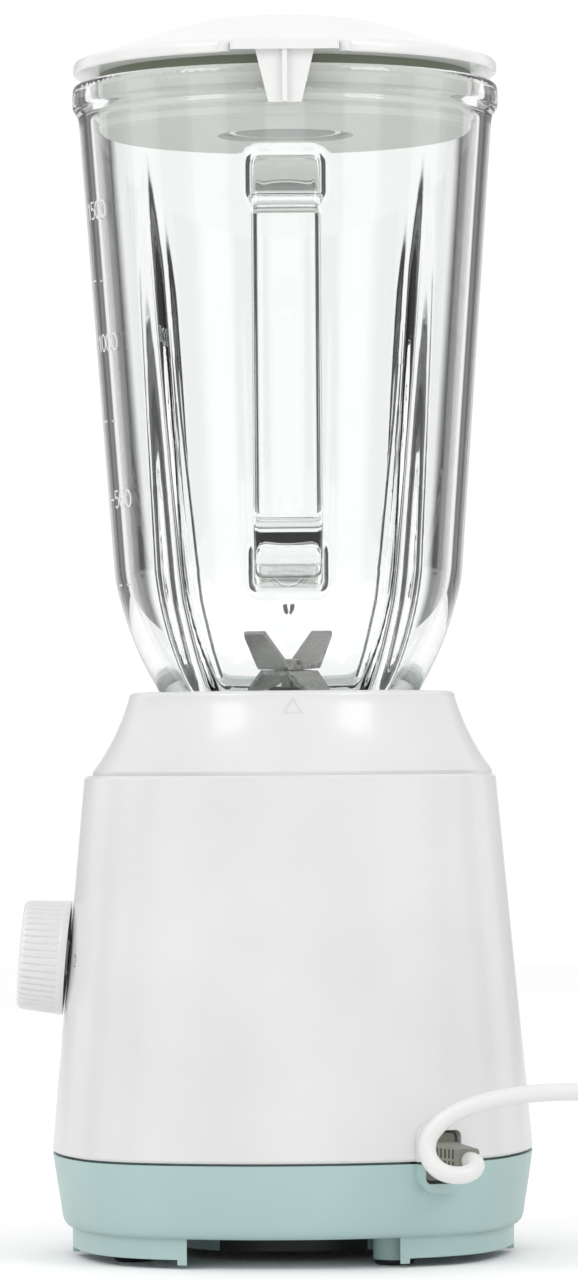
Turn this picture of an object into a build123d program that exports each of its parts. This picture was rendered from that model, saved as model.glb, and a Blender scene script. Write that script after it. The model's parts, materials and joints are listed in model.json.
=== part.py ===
from build123d import *
import math
import os

# Countertop blender: glass jar on a motor base, one STEP file per sub-part.
# Millimetres. Z is up from the table. The user stands on the -X side, where the knob is.
# The handle is on the -Y side and the pouring lip on the +Y side.
# Everything is laid out around the motor axis, and save() moves it so that the origin
# is the centre of the whole object's footprint on the table.

# ---- driving dimensions ----
BODY_HALF_BOTTOM = 79.0        # half width of the housing at the seam with the base tray
BODY_HALF_TOP = 67.8           # half width of the housing at the foot of the collar
SEAM_Z = 34.1                  # lower edge of the housing
SEAM_GAP = 0.8
SHOULDER_Z = 157.0             # top of the housing's straight sides
WALL = 2.6
CORNER_ARC = 0.57              # corner radius of the body outline, as a share of its half width
CORNER_CENTRE = 0.355          # place of that corner's centre, as the same share

COLLAR_TOP_Z = 184.2
COLLAR_TOP_R = 53.8
COLLAR_WAIST_R = 58.8
COLLAR_FOOT_R = 65.9
COLLAR_SHIFT = 0.8             # the flare stands this far behind the motor axis
SOCKET_FLOOR_Z = 157.5
SOCKET_R = 49.4

TRAY_FLOOR_Z = 9.6
TRAY_THICK = 2.5
LIP_TOP_Z = 39.0               # the tray's lip reaches up to here inside the housing
POST_SPLIT_Z = 37.8            # where the tray's screw posts meet the housing's
SKIRT_HALF = 72.7
SKIRT_THICK = 2.2
SKIRT_Z = 3.0
NUB_Z = 1.3
SKIRT_GAP_Y = 34.0             # half the opening between two skirts on the -Y and +Y sides
SKIRT_GAP_X = 8.0
DRUM_R = 40.0
DRUM_Z = 3.0
WINDOW_HALF = 24.0

FOOT_R = 6.5
FOOT_CIRCLE = 61.0
FOOT_TURN = -58.0              # angle of the first rubber foot
POST_X = 56.0
POST_Y = 22.0

KNOB_Z = 97.0
KNOB_BASE_R = 18.9
KNOB_FACE_R = 17.6
KNOB_LONG = 15.3
KNOB_GAP = 0.6

JAR_FOOT_Z = 166.5             # the glass stands on its gasket here
JAR_RIM_Z = 384.5
JAR_RIM_R = 70.3
JAR_NECK_R = 68.3
JAR_HIP_R = 57.35
JAR_HIP_Z = 223.0
GLASS = 4.9
HANDLE_Y = -103.0              # centre of the handle's grip
HANDLE_WIDE = 21.6
HANDLE_DEEP = 14.0

LID_FLANGE_Z = 388.1
LID_R = 70.0
LID_PLUG_R = 61.4
LID_PLUG_Z = 368.0
CAP_R = 28.0
CAP_TOP_Z = 405.4
TAB_REACH = 75.0

CORD_D = 5.6
EXIT_TURN = 25.0               # the cord leaves this many degrees off the -Y direction
EXIT_Z = 35.4
SURROUND_WIDE = 17.0
SURROUND_HIGH = 23.0
SURROUND_PROUD = 2.0
RECESS_WIDE = 12.6
RECESS_HIGH = 17.0
BOOT_LONG = 20.0
FLANGE_WIDE = 14.6             # the boot's flange, behind the wall
FLANGE_HIGH = 19.0
CLAMP_Z = -16.0                # depth of the cord clamp behind the wall
CLAMP_SCREWS_X = (-7.2, 7.2)

SHAFT_R = 4.0
SHAFT_TOP_Z = 163.0
CORE_Z = (62.0, 92.0)          # the laminated core, low and high
COMMUTATOR_R = 11.5
BRACKET_TOP_Z = 116.0
BRACKET_LOW_Z = 36.0
BEARING_R = 11.0
COUPLING_Z = (158.6, 171.0)
STAR_Z = (163.5, 171.5)        # the jar's star, inside the drive coupling
STAR_R = 9.6

KNOB_SHAFT_R = 3.0
PIN_R = 2.5                    # the pin that feels whether the jar is on
PIN_Y = 43.0
BOARD_X = -48.5

BLADE_THICK = 1.5
LOW_BLADE_Z = 188.8
HIGH_BLADE_Z = 190.8
SPINDLE_NECK_R = 2.6
SPINDLE_TIP_R = 2.0

COIL_X, COIL_Y = 145.0, -26.0  # middle of the put-away turns
COIL_IN, COIL_OUT = 23.0, 40.6
COIL_TOP = 10.6
TIE_TURN = 200.0
PLUG_X, PLUG_Y, PLUG_Z = COIL_X + 21.8, COIL_Y + 38.8, 9.0
PLUG_TURN = 33.9               # the plug points this many degrees off +Y, towards -X

FIT = 0.3                      # between pieces that move past each other
RUNNING = 0.04                 # radial clearance of a shaft in its bearing

# ---- places worked out from them ----
SIDE_LEAN = math.degrees(math.atan2(BODY_HALF_BOTTOM - BODY_HALF_TOP, SHOULDER_Z - SEAM_Z))
KNOB_X = -(BODY_HALF_BOTTOM - (KNOB_Z - SEAM_Z) * math.tan(math.radians(SIDE_LEAN)))
KNOB_FACE_X = KNOB_X - (KNOB_GAP + KNOB_LONG) * math.cos(math.radians(SIDE_LEAN))
KNOB_REACH = -KNOB_FACE_X + KNOB_FACE_R * math.sin(math.radians(SIDE_LEAN))
HANDLE_REACH = -HANDLE_Y + HANDLE_DEEP / 2
AXIS_X = (KNOB_REACH - BODY_HALF_BOTTOM) / 2
AXIS_Y = (HANDLE_REACH - BODY_HALF_BOTTOM) / 2


# ---- helpers ----
def save(name, *solids):
    """Write one sub-part, which may be a group of like solids, to its STEP file."""
    placed = [Pos(AXIS_X, AXIS_Y, 0) * s for s in solids]
    whole = placed[0] if len(placed) == 1 else Compound(children=placed)
    export_step(whole, f"parts/{name}.step")


def disc(radius, low, high):
    return Pos(0, 0, low) * Cylinder(radius, high - low, align=(Align.CENTER, Align.CENTER, Align.MIN))


def ring(inner, outer, low, high):
    return disc(outer, low, high) - disc(inner, low - 1, high + 1)


def block(x, y, z):
    """A box from its low and high X, Y and Z."""
    size = [b - a for a, b in (x, y, z)]
    middle = [(a + b) / 2 for a, b in (x, y, z)]
    return Pos(*middle) * Box(*size)


def turned(*points):
    """A solid of revolution about Z from the corners (radius, z) of its section."""
    corners = [(r, 0, z) for r, z in points]
    return revolve(Face(Wire(Polyline(*corners, close=True).edges())), Axis.Z)


def turned_edges(*edges):
    """The same from edges, for sections with round stretches."""
    return revolve(Face(Wire(edges)), Axis.Z)


def at(r, z):
    return (r, 0, z)


def outline(half, z):
    """The body's rounded-square section: four long side arcs and four tangent corner arcs."""
    corner = CORNER_ARC * half
    centre = CORNER_CENTRE * half
    flat = half - centre
    side = (corner**2 - flat**2 - centre**2) / (2 * (corner - flat))
    swing = math.degrees(math.atan2(centre, centre + side - half))
    edges = []
    for quarter in range(4):
        turn = Rot(0, 0, 90 * quarter)
        edges.append(turn * CenterArc((half - side, 0), side, -swing, 2 * swing))
        edges.append(turn * CenterArc((centre, centre), corner, swing, 90 - 2 * swing))
    return Pos(0, 0, z) * Face(Wire([e.edge() for e in edges]))


def stack(*sections):
    """A solid through body sections given as (half width, z)."""
    return loft([outline(half, z) for half, z in sections], ruled=True)


def body_half(z):
    return BODY_HALF_BOTTOM - (z - SEAM_Z) * math.tan(math.radians(SIDE_LEAN))


def around(shape, places):
    return [Pos(x, y, 0) * shape for x, y in places]


def tube(radius, points, radii):
    """A round bar along straight runs joined by tangent arcs."""
    path = FilletPolyline(*points, radius=radii)
    start = Plane(origin=path @ 0, z_dir=path % 0)
    return sweep(start * Circle(radius), path=path)


def corner_radii(points):
    """0.45 of the shorter run over the tangent of half the turn, for each inner point."""
    radii = []
    for before, here, after in zip(points, points[1:], points[2:]):
        one = Vector(*here) - Vector(*before)
        two = Vector(*after) - Vector(*here)
        half_turn = math.radians(one.get_angle(two)) / 2
        radii.append(0.45 * min(one.length, two.length) / math.tan(half_turn))
    return radii


def screw(head_r, shank_r, under_head, tip, head=2.6):
    """A pan-head screw that points up, with a cross recess in its head."""
    body = disc(head_r, under_head - head, under_head) + disc(shank_r, under_head, tip)
    recess = block((-0.5, 0.5), (-1.8, 1.8), (under_head - head - 1, under_head - head + 1.2))
    return body - recess - Rot(0, 0, 90) * recess


FEET = [
    (FOOT_CIRCLE * math.cos(math.radians(FOOT_TURN + 90 * k)),
     FOOT_CIRCLE * math.sin(math.radians(FOOT_TURN + 90 * k)))
    for k in range(4)
]
POSTS = [(sx * POST_X, sy * POST_Y) for sx in (-1, 1) for sy in (-1, 1)]
MOTOR_EARS = [(sx * 32.0, sy * 32.0) for sx in (-1, 1) for sy in (-1, 1)]
MOTOR_BOLTS = [(sx * 28.4, sy * 22.0) for sx in (-1, 1) for sy in (-1, 1)]

# The knob's own frame: its Z axis stands out of the sloping front.
KNOB_FRAME = Plane(
    origin=(KNOB_X, 0, KNOB_Z),
    x_dir=(0, -1, 0),
    z_dir=(-math.cos(math.radians(SIDE_LEAN)), 0, math.sin(math.radians(SIDE_LEAN))),
).location

# The cord exit's own frame: X runs along the wall, Y is up and Z stands out of the wall.
EXIT_IN = math.radians(EXIT_TURN)
EXIT_CORNER = CORNER_CENTRE * BODY_HALF_BOTTOM
EXIT_X = EXIT_CORNER + CORNER_ARC * BODY_HALF_BOTTOM * math.sin(EXIT_IN)
EXIT_Y = -EXIT_CORNER - CORNER_ARC * BODY_HALF_BOTTOM * math.cos(EXIT_IN)
EXIT_FRAME = Plane(
    origin=(EXIT_X, EXIT_Y, EXIT_Z),
    x_dir=(math.cos(EXIT_IN), math.sin(EXIT_IN), 0),
    z_dir=(math.sin(EXIT_IN), -math.cos(EXIT_IN), 0),
).location


# ---- housing and base tray ----
def exit_surround():
    """The raised frame around the cord's opening, running in through the wall."""
    face = RectangleRounded(SURROUND_WIDE, SURROUND_HIGH, 6.0)
    return EXIT_FRAME * (Pos(0, 0, -6) * extrude(face, 6 + SURROUND_PROUD))


def exit_recess():
    face = RectangleRounded(RECESS_WIDE, RECESS_HIGH, 2.0)
    return EXIT_FRAME * (Pos(0, 0, -12) * extrude(face, 20))


def boot_notch():
    """Room behind the wall for the boot's flange, cut out of the tray's lip."""
    flange = extrude(Rectangle(FLANGE_WIDE + 3, FLANGE_HIGH + 2), 7)
    return EXIT_FRAME * (Pos(0, 0, -WALL - 7.1) * flange)


def collar_flare():
    lip = 1.9
    foot = Line(at(0, SHOULDER_Z - 1), at(COLLAR_FOOT_R, SHOULDER_Z - 1))
    rise = Line(at(COLLAR_FOOT_R, SHOULDER_Z - 1), at(COLLAR_FOOT_R, SHOULDER_Z + 1.2))
    flare = ThreePointArc(
        at(COLLAR_FOOT_R, SHOULDER_Z + 1.2),
        at(COLLAR_WAIST_R, 169.6),
        at(COLLAR_TOP_R, COLLAR_TOP_Z - lip),
    )
    edge = ThreePointArc(
        at(COLLAR_TOP_R, COLLAR_TOP_Z - lip),
        at(COLLAR_TOP_R - 0.55, COLLAR_TOP_Z - 0.5),
        at(COLLAR_TOP_R - lip, COLLAR_TOP_Z),
    )
    top = Line(at(COLLAR_TOP_R - lip, COLLAR_TOP_Z), at(0, COLLAR_TOP_Z))
    back = Line(at(0, COLLAR_TOP_Z), at(0, SHOULDER_Z - 1))
    return Pos(COLLAR_SHIFT, 0, 0) * turned_edges(foot, rise, flare, edge, top, back)


def housing_cavity():
    deck = SOCKET_FLOOR_Z - WALL - 0.5
    main = stack((body_half(SEAM_Z) - WALL, SEAM_Z - 1), (body_half(deck) - WALL, deck))
    under_flare = turned(
        (SOCKET_R + WALL, deck - 1), (63.0, deck - 1), (63.0, SHOULDER_Z + 1),
        (56.2, 169.6), (SOCKET_R + WALL, 176.0),
    )
    return main + Pos(COLLAR_SHIFT, 0, 0) * under_flare


def housing_posts():
    """Posts for the base screws, and pillars for the motor, hanging from the deck."""
    deck = SOCKET_FLOOR_Z - WALL - 0.5
    made = around(disc(4.5, POST_SPLIT_Z + FIT, deck + 1), POSTS)
    made += around(disc(5.5, BRACKET_TOP_Z + 7.3, deck + 1), MOTOR_EARS)
    for x, y in POSTS:
        reach = sorted((x, math.copysign(BODY_HALF_BOTTOM + 3, x)))
        made.append(block(reach, (y - 1, y + 1), (LIP_TOP_Z + 0.5, deck)))
    return made


def housing():
    shell = stack((BODY_HALF_BOTTOM - 0.5, SEAM_Z), (BODY_HALF_BOTTOM, SEAM_Z + 0.8),
                  (body_half(SHOULDER_Z - 0.9), SHOULDER_Z - 0.9),
                  (body_half(SHOULDER_Z) - 0.8, SHOULDER_Z))
    outer = shell
    shell += collar_flare()
    shell += exit_surround() & block((0, 90), (-90, 0), (SEAM_Z, 80))
    shell -= housing_cavity()
    for post in housing_posts():
        shell += post & outer
    shell -= turned((0, SOCKET_FLOOR_Z), (SOCKET_R - 0.8, SOCKET_FLOOR_Z),
                    (SOCKET_R, COLLAR_TOP_Z - 1.2), (SOCKET_R + 1.2, COLLAR_TOP_Z + 0.1),
                    (0, COLLAR_TOP_Z + 0.1))
    splash_ring = ring(14.2, 16.4, SOCKET_FLOOR_Z - 1, 165.0)
    shell += splash_ring
    shell -= disc(11.0, 150, 159)
    shell -= Pos(0, PIN_Y, 0) * disc(PIN_R + FIT, 150, 160)
    shell -= KNOB_FRAME * (Pos(0, 0, -12) * disc(4.8, 0, 20))
    shell -= exit_recess()
    for x, y in POSTS:
        shell -= Pos(x, y, 0) * disc(1.8, 30, 62)
    for x, y in MOTOR_EARS:
        shell -= Pos(x, y, 0) * disc(2.0, 120, 143)
    return shell


def skirts():
    """Low walls round the underside, open on each side, with a nub at each end."""
    def band(low, high):
        return stack((SKIRT_HALF, low), (SKIRT_HALF, high)) - stack(
            (SKIRT_HALF - SKIRT_THICK, low - 1), (SKIRT_HALF - SKIRT_THICK, high + 1))

    wall = band(SKIRT_Z, TRAY_FLOOR_Z + 1)
    wall -= block((-SKIRT_GAP_Y, SKIRT_GAP_Y), (-90, 90), (-1, TRAY_FLOOR_Z))
    wall -= block((-90, 90), (-SKIRT_GAP_X, SKIRT_GAP_X), (-1, TRAY_FLOOR_Z))
    nub = band(NUB_Z, SKIRT_Z + 0.5)
    nub_long = 3.0
    ends = Part()
    for sx in (-1, 1):
        for sy in (-1, 1):
            near = sorted((sx * SKIRT_GAP_Y, sx * (SKIRT_GAP_Y + nub_long)))
            ends += nub & block(near, sorted((sy * 50, sy * 90)), (0, 10))
            low = sorted((sy * SKIRT_GAP_X, sy * (SKIRT_GAP_X + nub_long)))
            ends += nub & block(sorted((sx * 60, sx * 90)), low, (0, 10))
    return wall + ends


def drum():
    """The round wall in the middle of the underside, with a window on the -Y and +Y sides."""
    wall = ring(DRUM_R - 2.4, DRUM_R, DRUM_Z, TRAY_FLOOR_Z + 1)
    return wall - block((-WINDOW_HALF, WINDOW_HALF), (-50, 50), (0, TRAY_FLOOR_Z))


def tray_shell():
    rim = SEAM_Z - SEAM_GAP
    low = TRAY_FLOOR_Z
    outer = stack((72.9, low), (74.3, low + 0.5), (75.3, low + 1.7), (75.9, low + 3.6),
                  (76.5, low + 8.0), (77.5, low + 14.0), (78.9, rim))
    hollow = stack((71.6, low + TRAY_THICK), (73.4, low + 6), (76.2, rim + 1))
    lip_out = BODY_HALF_BOTTOM - WALL - 0.7
    lip = stack((76.5, 25.0), (76.9, 28.0)) + stack((lip_out, 28.0), (lip_out - 0.4, LIP_TOP_Z))
    lip -= stack((lip_out - 2.0, 24.0), (lip_out - 2.4, LIP_TOP_Z + 1))
    return outer - hollow + lip


def board_posts():
    """Two slotted uprights that hold the circuit board."""
    made = Part()
    for side in (-1, 1):
        post = block((BOARD_X - 2.6, BOARD_X + 3.4), sorted((side * 17, side * 23)), (9, 60))
        made += post
    return made - block((BOARD_X - 0.05, BOARD_X + 1.65), (-20.1, 20.1), (50, 61))


def clamp_pillar():
    """The block that the cord clamp and the terminal block stand on."""
    saddle = block((-10, 10), (TRAY_FLOOR_Z + 1 - EXIT_Z, -CORD_D / 2), (-20, -12))
    shelf = block((-8, 8), (TRAY_FLOOR_Z + 1 - EXIT_Z, -6.4), (-35, -24))
    return EXIT_FRAME * (saddle + shelf)


def base_tray():
    tray = tray_shell() + skirts() + drum()
    tray -= disc(34.0, 0, TRAY_FLOOR_Z + TRAY_THICK + 1)
    for x, y in FEET:
        tray += Pos(x, y, 0) * disc(FOOT_R + 0.3, 1.8, TRAY_FLOOR_Z + 1)
        tray -= Pos(x, y, 0) * disc(3.0, 0, TRAY_FLOOR_Z + 0.9)
    for x, y in POSTS:
        tray += Pos(x, y, 0) * disc(6.0, TRAY_FLOOR_Z + 1, POST_SPLIT_Z)
        tray -= Pos(x, y, 0) * disc(4.2, 0, 26)
        tray -= Pos(x, y, 0) * disc(2.2, 20, 40)
    lower = exit_surround() & block((0, 90), (-90, 0), (20, SEAM_Z - SEAM_GAP))
    tray += lower
    tray -= boot_notch()
    tray += board_posts()
    tray += clamp_pillar()
    for sx in CLAMP_SCREWS_X:
        tray -= EXIT_FRAME * (Pos(sx, 0, CLAMP_Z) * Rot(-90, 0, 0) * disc(1.3, -13, 0))
    return tray - exit_recess()


def motor_vent():
    """The black grille that fills the drum and its two windows."""
    plate = disc(37.3, DRUM_Z + 0.2, DRUM_Z + 2.2)
    for k in range(-5, 6):
        long = math.sqrt(31.0**2 - (5.2 * k) ** 2)
        plate -= block((-long, long), (5.2 * k - 1.4, 5.2 * k + 1.4), (0, 10))
    plate += block((-1.2, 1.2), (-33, 33), (DRUM_Z + 0.2, DRUM_Z + 2.2))
    wall = ring(DRUM_R - 2.7, DRUM_R - 0.4, DRUM_Z + 0.2, TRAY_FLOOR_Z - 0.1)
    return plate + (wall & block((-WINDOW_HALF + 0.1, WINDOW_HALF - 0.1), (-50, 50), (0, 20)))


def rubber_foot():
    pad = turned((0, 0), (5.2, 0), (6.1, 0.5), (FOOT_R, 1.3), (FOOT_R, 1.8), (0, 1.8))
    return pad + disc(3.0, 1.8, TRAY_FLOOR_Z + 0.9)


def shaft_seal():
    """The rubber lip ring that keeps spilt liquid off the motor."""
    return turned((SHAFT_R + RUNNING, 154.6), (11.0, 154.6), (11.0, SOCKET_FLOOR_Z),
                  (7.5, SOCKET_FLOOR_Z), (7.5, 156.2), (SHAFT_R + RUNNING, 156.2))


# ---- knob and switch ----
def control_knob():
    outer = turned((0, 0), (KNOB_BASE_R, 0), (KNOB_FACE_R + 0.3, KNOB_LONG - 1.6),
                   (KNOB_FACE_R - 0.2, KNOB_LONG - 0.5), (KNOB_FACE_R - 1.4, KNOB_LONG),
                   (0, KNOB_LONG))
    outer -= turned((5.6, -1), (16.4, -1), (15.6, KNOB_LONG - 2.4), (5.6, KNOB_LONG - 2.4))
    outer -= disc(7.6, -1, 3.0)
    outer -= disc(KNOB_SHAFT_R, -1, KNOB_LONG - 3.2)
    return KNOB_FRAME * (Pos(0, 0, KNOB_GAP) * outer)


def knob_spindle():
    bar = disc(KNOB_SHAFT_R, -17.0, KNOB_GAP + KNOB_LONG - 3.3)
    bar -= block((1.6, 5), (-5, 5), (4, 20))
    return KNOB_FRAME * bar


def rotary_switch():
    case = Pos(0, 0, -12.1) * Box(28, 28, 13.6)
    case = fillet(case.edges().filter_by(Axis.Z), 2.0)
    case += disc(4.5, -5.4, 3.2)
    for x, y in ((-9, -7), (-9, 7), (0, -9), (9, -7), (9, 7)):
        case += block((x - 2.4, x + 2.4), (y - 0.4, y + 0.4), (-24, -18))
    return KNOB_FRAME * (case - disc(KNOB_SHAFT_R + RUNNING, -17.5, 5))


def switch_nut():
    hexagon = extrude(RegularPolygon(6.6, 6), 2.2)
    return KNOB_FRAME * (Pos(0, 0, 0.3) * hexagon - disc(4.5, -1, 4))


# ---- motor ----
def motor_stator():
    low, high = CORE_Z
    core = Pos(0, 0, low) * extrude(RectangleRounded(64, 54, 5), high - low)
    core -= disc(17.5, low - 1, high + 1)
    core -= block((-24.5, 24.5), (-13, 13), (low - 1, high + 1))
    for sx in (-1, 1):
        for sy in (-1, 1):
            core -= block(sorted((sx * 18.7, sx * 24.5)), sorted((sy * 15.2, sy * 23.4)), (low - 1, high + 1))
    for x, y in MOTOR_BOLTS:
        core -= Pos(x, y, 0) * disc(2.1, low - 1, high + 1)
    return core


def field_coils():
    low, high = CORE_Z
    loop = block((-24, 24), (15.5, 23), (low - 8, high + 8))
    loop = fillet(loop.edges().filter_by(Axis.Y), 5.0)
    loop -= block((-19, 19), (15, 24), (low - 0.4, high + 0.4))
    return [loop, Rot(0, 0, 180) * loop]


def bracket_plate(half_x, half_y, low, high):
    return Pos(0, 0, low) * extrude(RectangleRounded(2 * half_x, 2 * half_y, 8), high - low)


def motor_bracket_top():
    low = BRACKET_TOP_Z
    plate = bracket_plate(39, 39, low, low + 4)
    for k in range(4):
        plate -= Rot(0, 0, 90 * k) * block((15, 33), (-9, 9), (low - 1, low + 5))
    plate += disc(13.5, low - 3, low + 7)
    plate -= disc(11.0, low - 1, low + 8)
    plate -= disc(6.5, low - 5, low + 2)
    for x, y in MOTOR_BOLTS:
        plate += Pos(x, y, 0) * ring(2.1, 3.6, CORE_Z[1], low)
        plate -= Pos(x, y, 0) * disc(2.1, low - 1, low + 5)
    for x, y in MOTOR_EARS:
        plate -= Pos(x, y, 0) * disc(3.4, low - 1, low + 5)
    return plate


def motor_bracket_low():
    low = BRACKET_LOW_Z
    plate = bracket_plate(32, 27, low, low + 4)
    for k in (0, 2):
        plate -= Rot(0, 0, 90 * k) * block((15, 23), (-12, 12), (low - 1, low + 5))
    plate += disc(13.5, low - 6, low + 4)
    plate -= disc(11.0, low - 4, low + 5)
    plate -= disc(6.5, low - 7, low + 5)
    for x, y in MOTOR_BOLTS:
        plate += Pos(x, y, 0) * ring(2.1, 3.6, low + 4, CORE_Z[0])
        plate -= Pos(x, y, 0) * disc(2.1, low - 1, low + 5)
    for side in (-1, 1):
        foot = block(sorted((side * 15.5, side * 25.5)), (-3, 3), (low + 4, 44.9))
        plate += foot
    return plate


def ball_bearing(low):
    """A 22 mm bearing as one solid, with its shield grooves."""
    race = ring(SHAFT_R + RUNNING, 11.0, low, low + 7)
    for z in (low, low + 7):
        race -= ring(6.6, 9.4, z - 0.5, z + 0.5)
    return race


def brush_holder(side):
    x = sorted((side * 13.2, side * 27.5))
    holder = block(x, (-4.5, 4.5), (45.0, 54.0))
    inner = sorted((side * 13, side * 26.8))
    return holder - block(inner, (-3.2, 3.2), (46.3, 52.7))


def carbon_brush(side):
    bar = block(sorted((side * 11.65, side * 21.0)), (-3.1, 3.1), (46.4, 52.6))
    return bar - disc(COMMUTATOR_R + 0.15, 44, 56)


def brush_spring(side):
    coil = Helix(pitch=1.15, height=4.6, radius=2.3)
    wire = sweep(Plane(origin=coil @ 0, z_dir=coil % 0) * Circle(0.25), path=coil)
    return Pos(side * 21.6, 0, 49.5) * Rot(0, side * 90, 0) * wire


def motor_bolts():
    """Four long screws with nuts, which clamp both brackets to the laminated core."""
    one = screw(3.6, 2.0, BRACKET_LOW_Z, BRACKET_TOP_Z + 8)
    nut = ring(2.0, 3.8, BRACKET_TOP_Z + 4, BRACKET_TOP_Z + 7)
    return around(one, MOTOR_BOLTS) + around(nut, MOTOR_BOLTS)


def motor_grommet():
    low = BRACKET_TOP_Z
    return turned((2.0, low - 3), (6.2, low - 3), (6.2, low), (3.4, low), (3.4, low + 4),
                  (6.2, low + 4), (6.2, low + 7.3), (2.0, low + 7.3))


def mount_screw():
    return screw(5.0, 1.9, BRACKET_TOP_Z - 3, BRACKET_TOP_Z + 24)


# ---- rotor ----
def motor_shaft():
    return disc(SHAFT_R, 27.0, SHAFT_TOP_Z) + ring(SHAFT_R - 0.2, 5.5, BRACKET_LOW_Z + 3.3, 43.0)


def armature_core():
    low, high = CORE_Z
    core = ring(SHAFT_R, 17.0, low, high)
    for k in range(12):
        slot = block((9.0, 15.2), (-1.7, 1.7), (low - 1, high + 1))
        mouth = block((14, 18), (-0.8, 0.8), (low - 1, high + 1))
        core -= Rot(0, 0, 30 * k) * (slot + mouth)
    return core


def armature_windings():
    low, high = CORE_Z
    ends = ring(6.2, 14.6, low - 5.5, low) + ring(6.2, 14.6, high, high + 6)
    for k in range(12):
        ends += Rot(0, 0, 30 * k) * block((9.2, 14.6), (-1.6, 1.6), (low - 1, high + 1))
    return ends


def commutator():
    body = ring(SHAFT_R, COMMUTATOR_R, 43.0, 56.0)
    for k in range(24):
        body -= Rot(0, 0, 15 * k) * block((10.3, 12), (-0.25, 0.25), (42, 57))
    return body


def cooling_fan():
    hub = ring(SHAFT_R, 9.0, 103.0, 112.0) + ring(SHAFT_R, 25.0, 103.0, 104.6)
    for k in range(9):
        hub += Rot(0, 0, 40 * k) * block((8.5, 24.6), (-0.8, 0.8), (104, 112.5))
    return hub


def star(radius, low, high):
    """Six round lobes on a hub: the drive that the jar drops onto."""
    lobe_r = radius * 0.28
    shape = disc(radius * 0.72, low, high)
    for k in range(6):
        shape += Rot(0, 0, 60 * k) * (Pos(radius - lobe_r, 0, 0) * disc(lobe_r, low, high))
    return shape


def drive_coupling():
    low, high = COUPLING_Z
    return ring(SHAFT_R, 13.5, low, high) - star(STAR_R + 0.35, STAR_Z[0] - FIT, high + 1)


# ---- interlock ----
def interlock_pin():
    pin = disc(PIN_R, 129.0, SOCKET_FLOOR_Z - 1.0)
    pin += turned((0, SOCKET_FLOOR_Z - 1.0), (PIN_R, SOCKET_FLOOR_Z - 1.0), (1.2, SOCKET_FLOOR_Z),
                  (0, SOCKET_FLOOR_Z))
    return Pos(0, PIN_Y, 0) * (pin + disc(4.2, 144.0, 145.5))


def interlock_guide():
    """The cup under the deck that guides the pin and holds the switch below it."""
    deck = SOCKET_FLOOR_Z - WALL - 0.5
    cup = ring(4.6, 6.5, 131.0, deck)
    cup += ring(PIN_R + FIT, 6.5, 131.0, 133.0)
    cup += ring(PIN_R + FIT, 6.5, 149.5, deck)
    plate = block((-10.5, 10.5), (4.1, 6.1), (118.0, 135.0))
    plate -= disc(4.6, 133, 136)
    return Pos(0, PIN_Y, 0) * (cup + plate)


def interlock_spring():
    coil = Helix(pitch=1.7, height=10.2, radius=3.6)
    wire = sweep(Plane(origin=coil @ 0, z_dir=coil % 0) * Circle(0.3), path=coil)
    return Pos(0, PIN_Y, 133.4) * wire


def interlock_switch():
    case = block((-10, 10), (-3.4, 4.0), (118.0, 128.0))
    case = fillet(case.edges().filter_by(Axis.Y), 0.8)
    for x in (-7, 0, 7):
        case += block((x - 0.3, x + 0.3), (-1.4, 1.4), (113, 118.2))
    return Pos(0, PIN_Y, 0) * (case + disc(1.3, 127.5, 128.7))


# ---- inside the base ----
def control_board():
    return block((BOARD_X, BOARD_X + 1.6), (-20, 20), (50.1, 84))


def suppression_capacitor():
    body = block((BOARD_X + 1.6, BOARD_X + 11), (-9, 9), (58, 73))
    return fillet(body.edges().filter_by(Axis.X), 1.2)


def terminal_block():
    body = block((-7.6, 7.6), (-6.4, 6.0), (-34, -24))
    for x in (-3.8, 3.8):
        body -= Pos(x, 0, -29) * Rot(90, 0, 0) * disc(1.9, -12, -3)
    return EXIT_FRAME * body


def cord_clamp():
    bar = block((-10, 10), (CORD_D / 2, CORD_D / 2 + 2.6), (-19.5, -12.5))
    bar = fillet(bar.edges().filter_by(Axis.Y), 1.5)
    for x in CLAMP_SCREWS_X:
        upright = Pos(x, 0, CLAMP_Z) * Rot(-90, 0, 0)
        bar -= upright * disc(1.4, -10, 10)
        bar += upright * ring(1.4, 2.4, -CORD_D / 2, CORD_D / 2)
    return EXIT_FRAME * bar


def clamp_screws():
    top = CORD_D / 2 + 2.6
    one = Rot(90, 0, 0) * screw(2.6, 1.2, 0, 17, head=1.8)
    return [EXIT_FRAME * (Pos(x, top, CLAMP_Z) * one) for x in CLAMP_SCREWS_X]


def cord_inner():
    return EXIT_FRAME * disc(CORD_D / 2, -24, -7)


def internal_wires():
    """Insulated leads: terminal block to switch, switch to field coil, interlock to terminal block."""
    radius = 1.1
    mains = [(34.5, -40, 41.6), (34.5, -40, 52), (4, -50, 60), (-36, -46, 72), (-42, -9, 84), (-47.5, -9, 90)]
    field = [(-47.5, 9, 90), (-41, 9, 96), (-37, 12, 103), (-30, 13, 104), (-23, 17, 103.5), (-21.5, 19.3, 100.1)]
    safety = [(0, PIN_Y, 112.4), (0, 54, 104), (40, 50, 90), (50, 2, 74), (44, -32, 56), (37.5, -41.5, 41.6)]
    return [tube(radius, p, [min(5.0, r) for r in corner_radii(p)]) for p in (mains, field, safety)]


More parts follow.
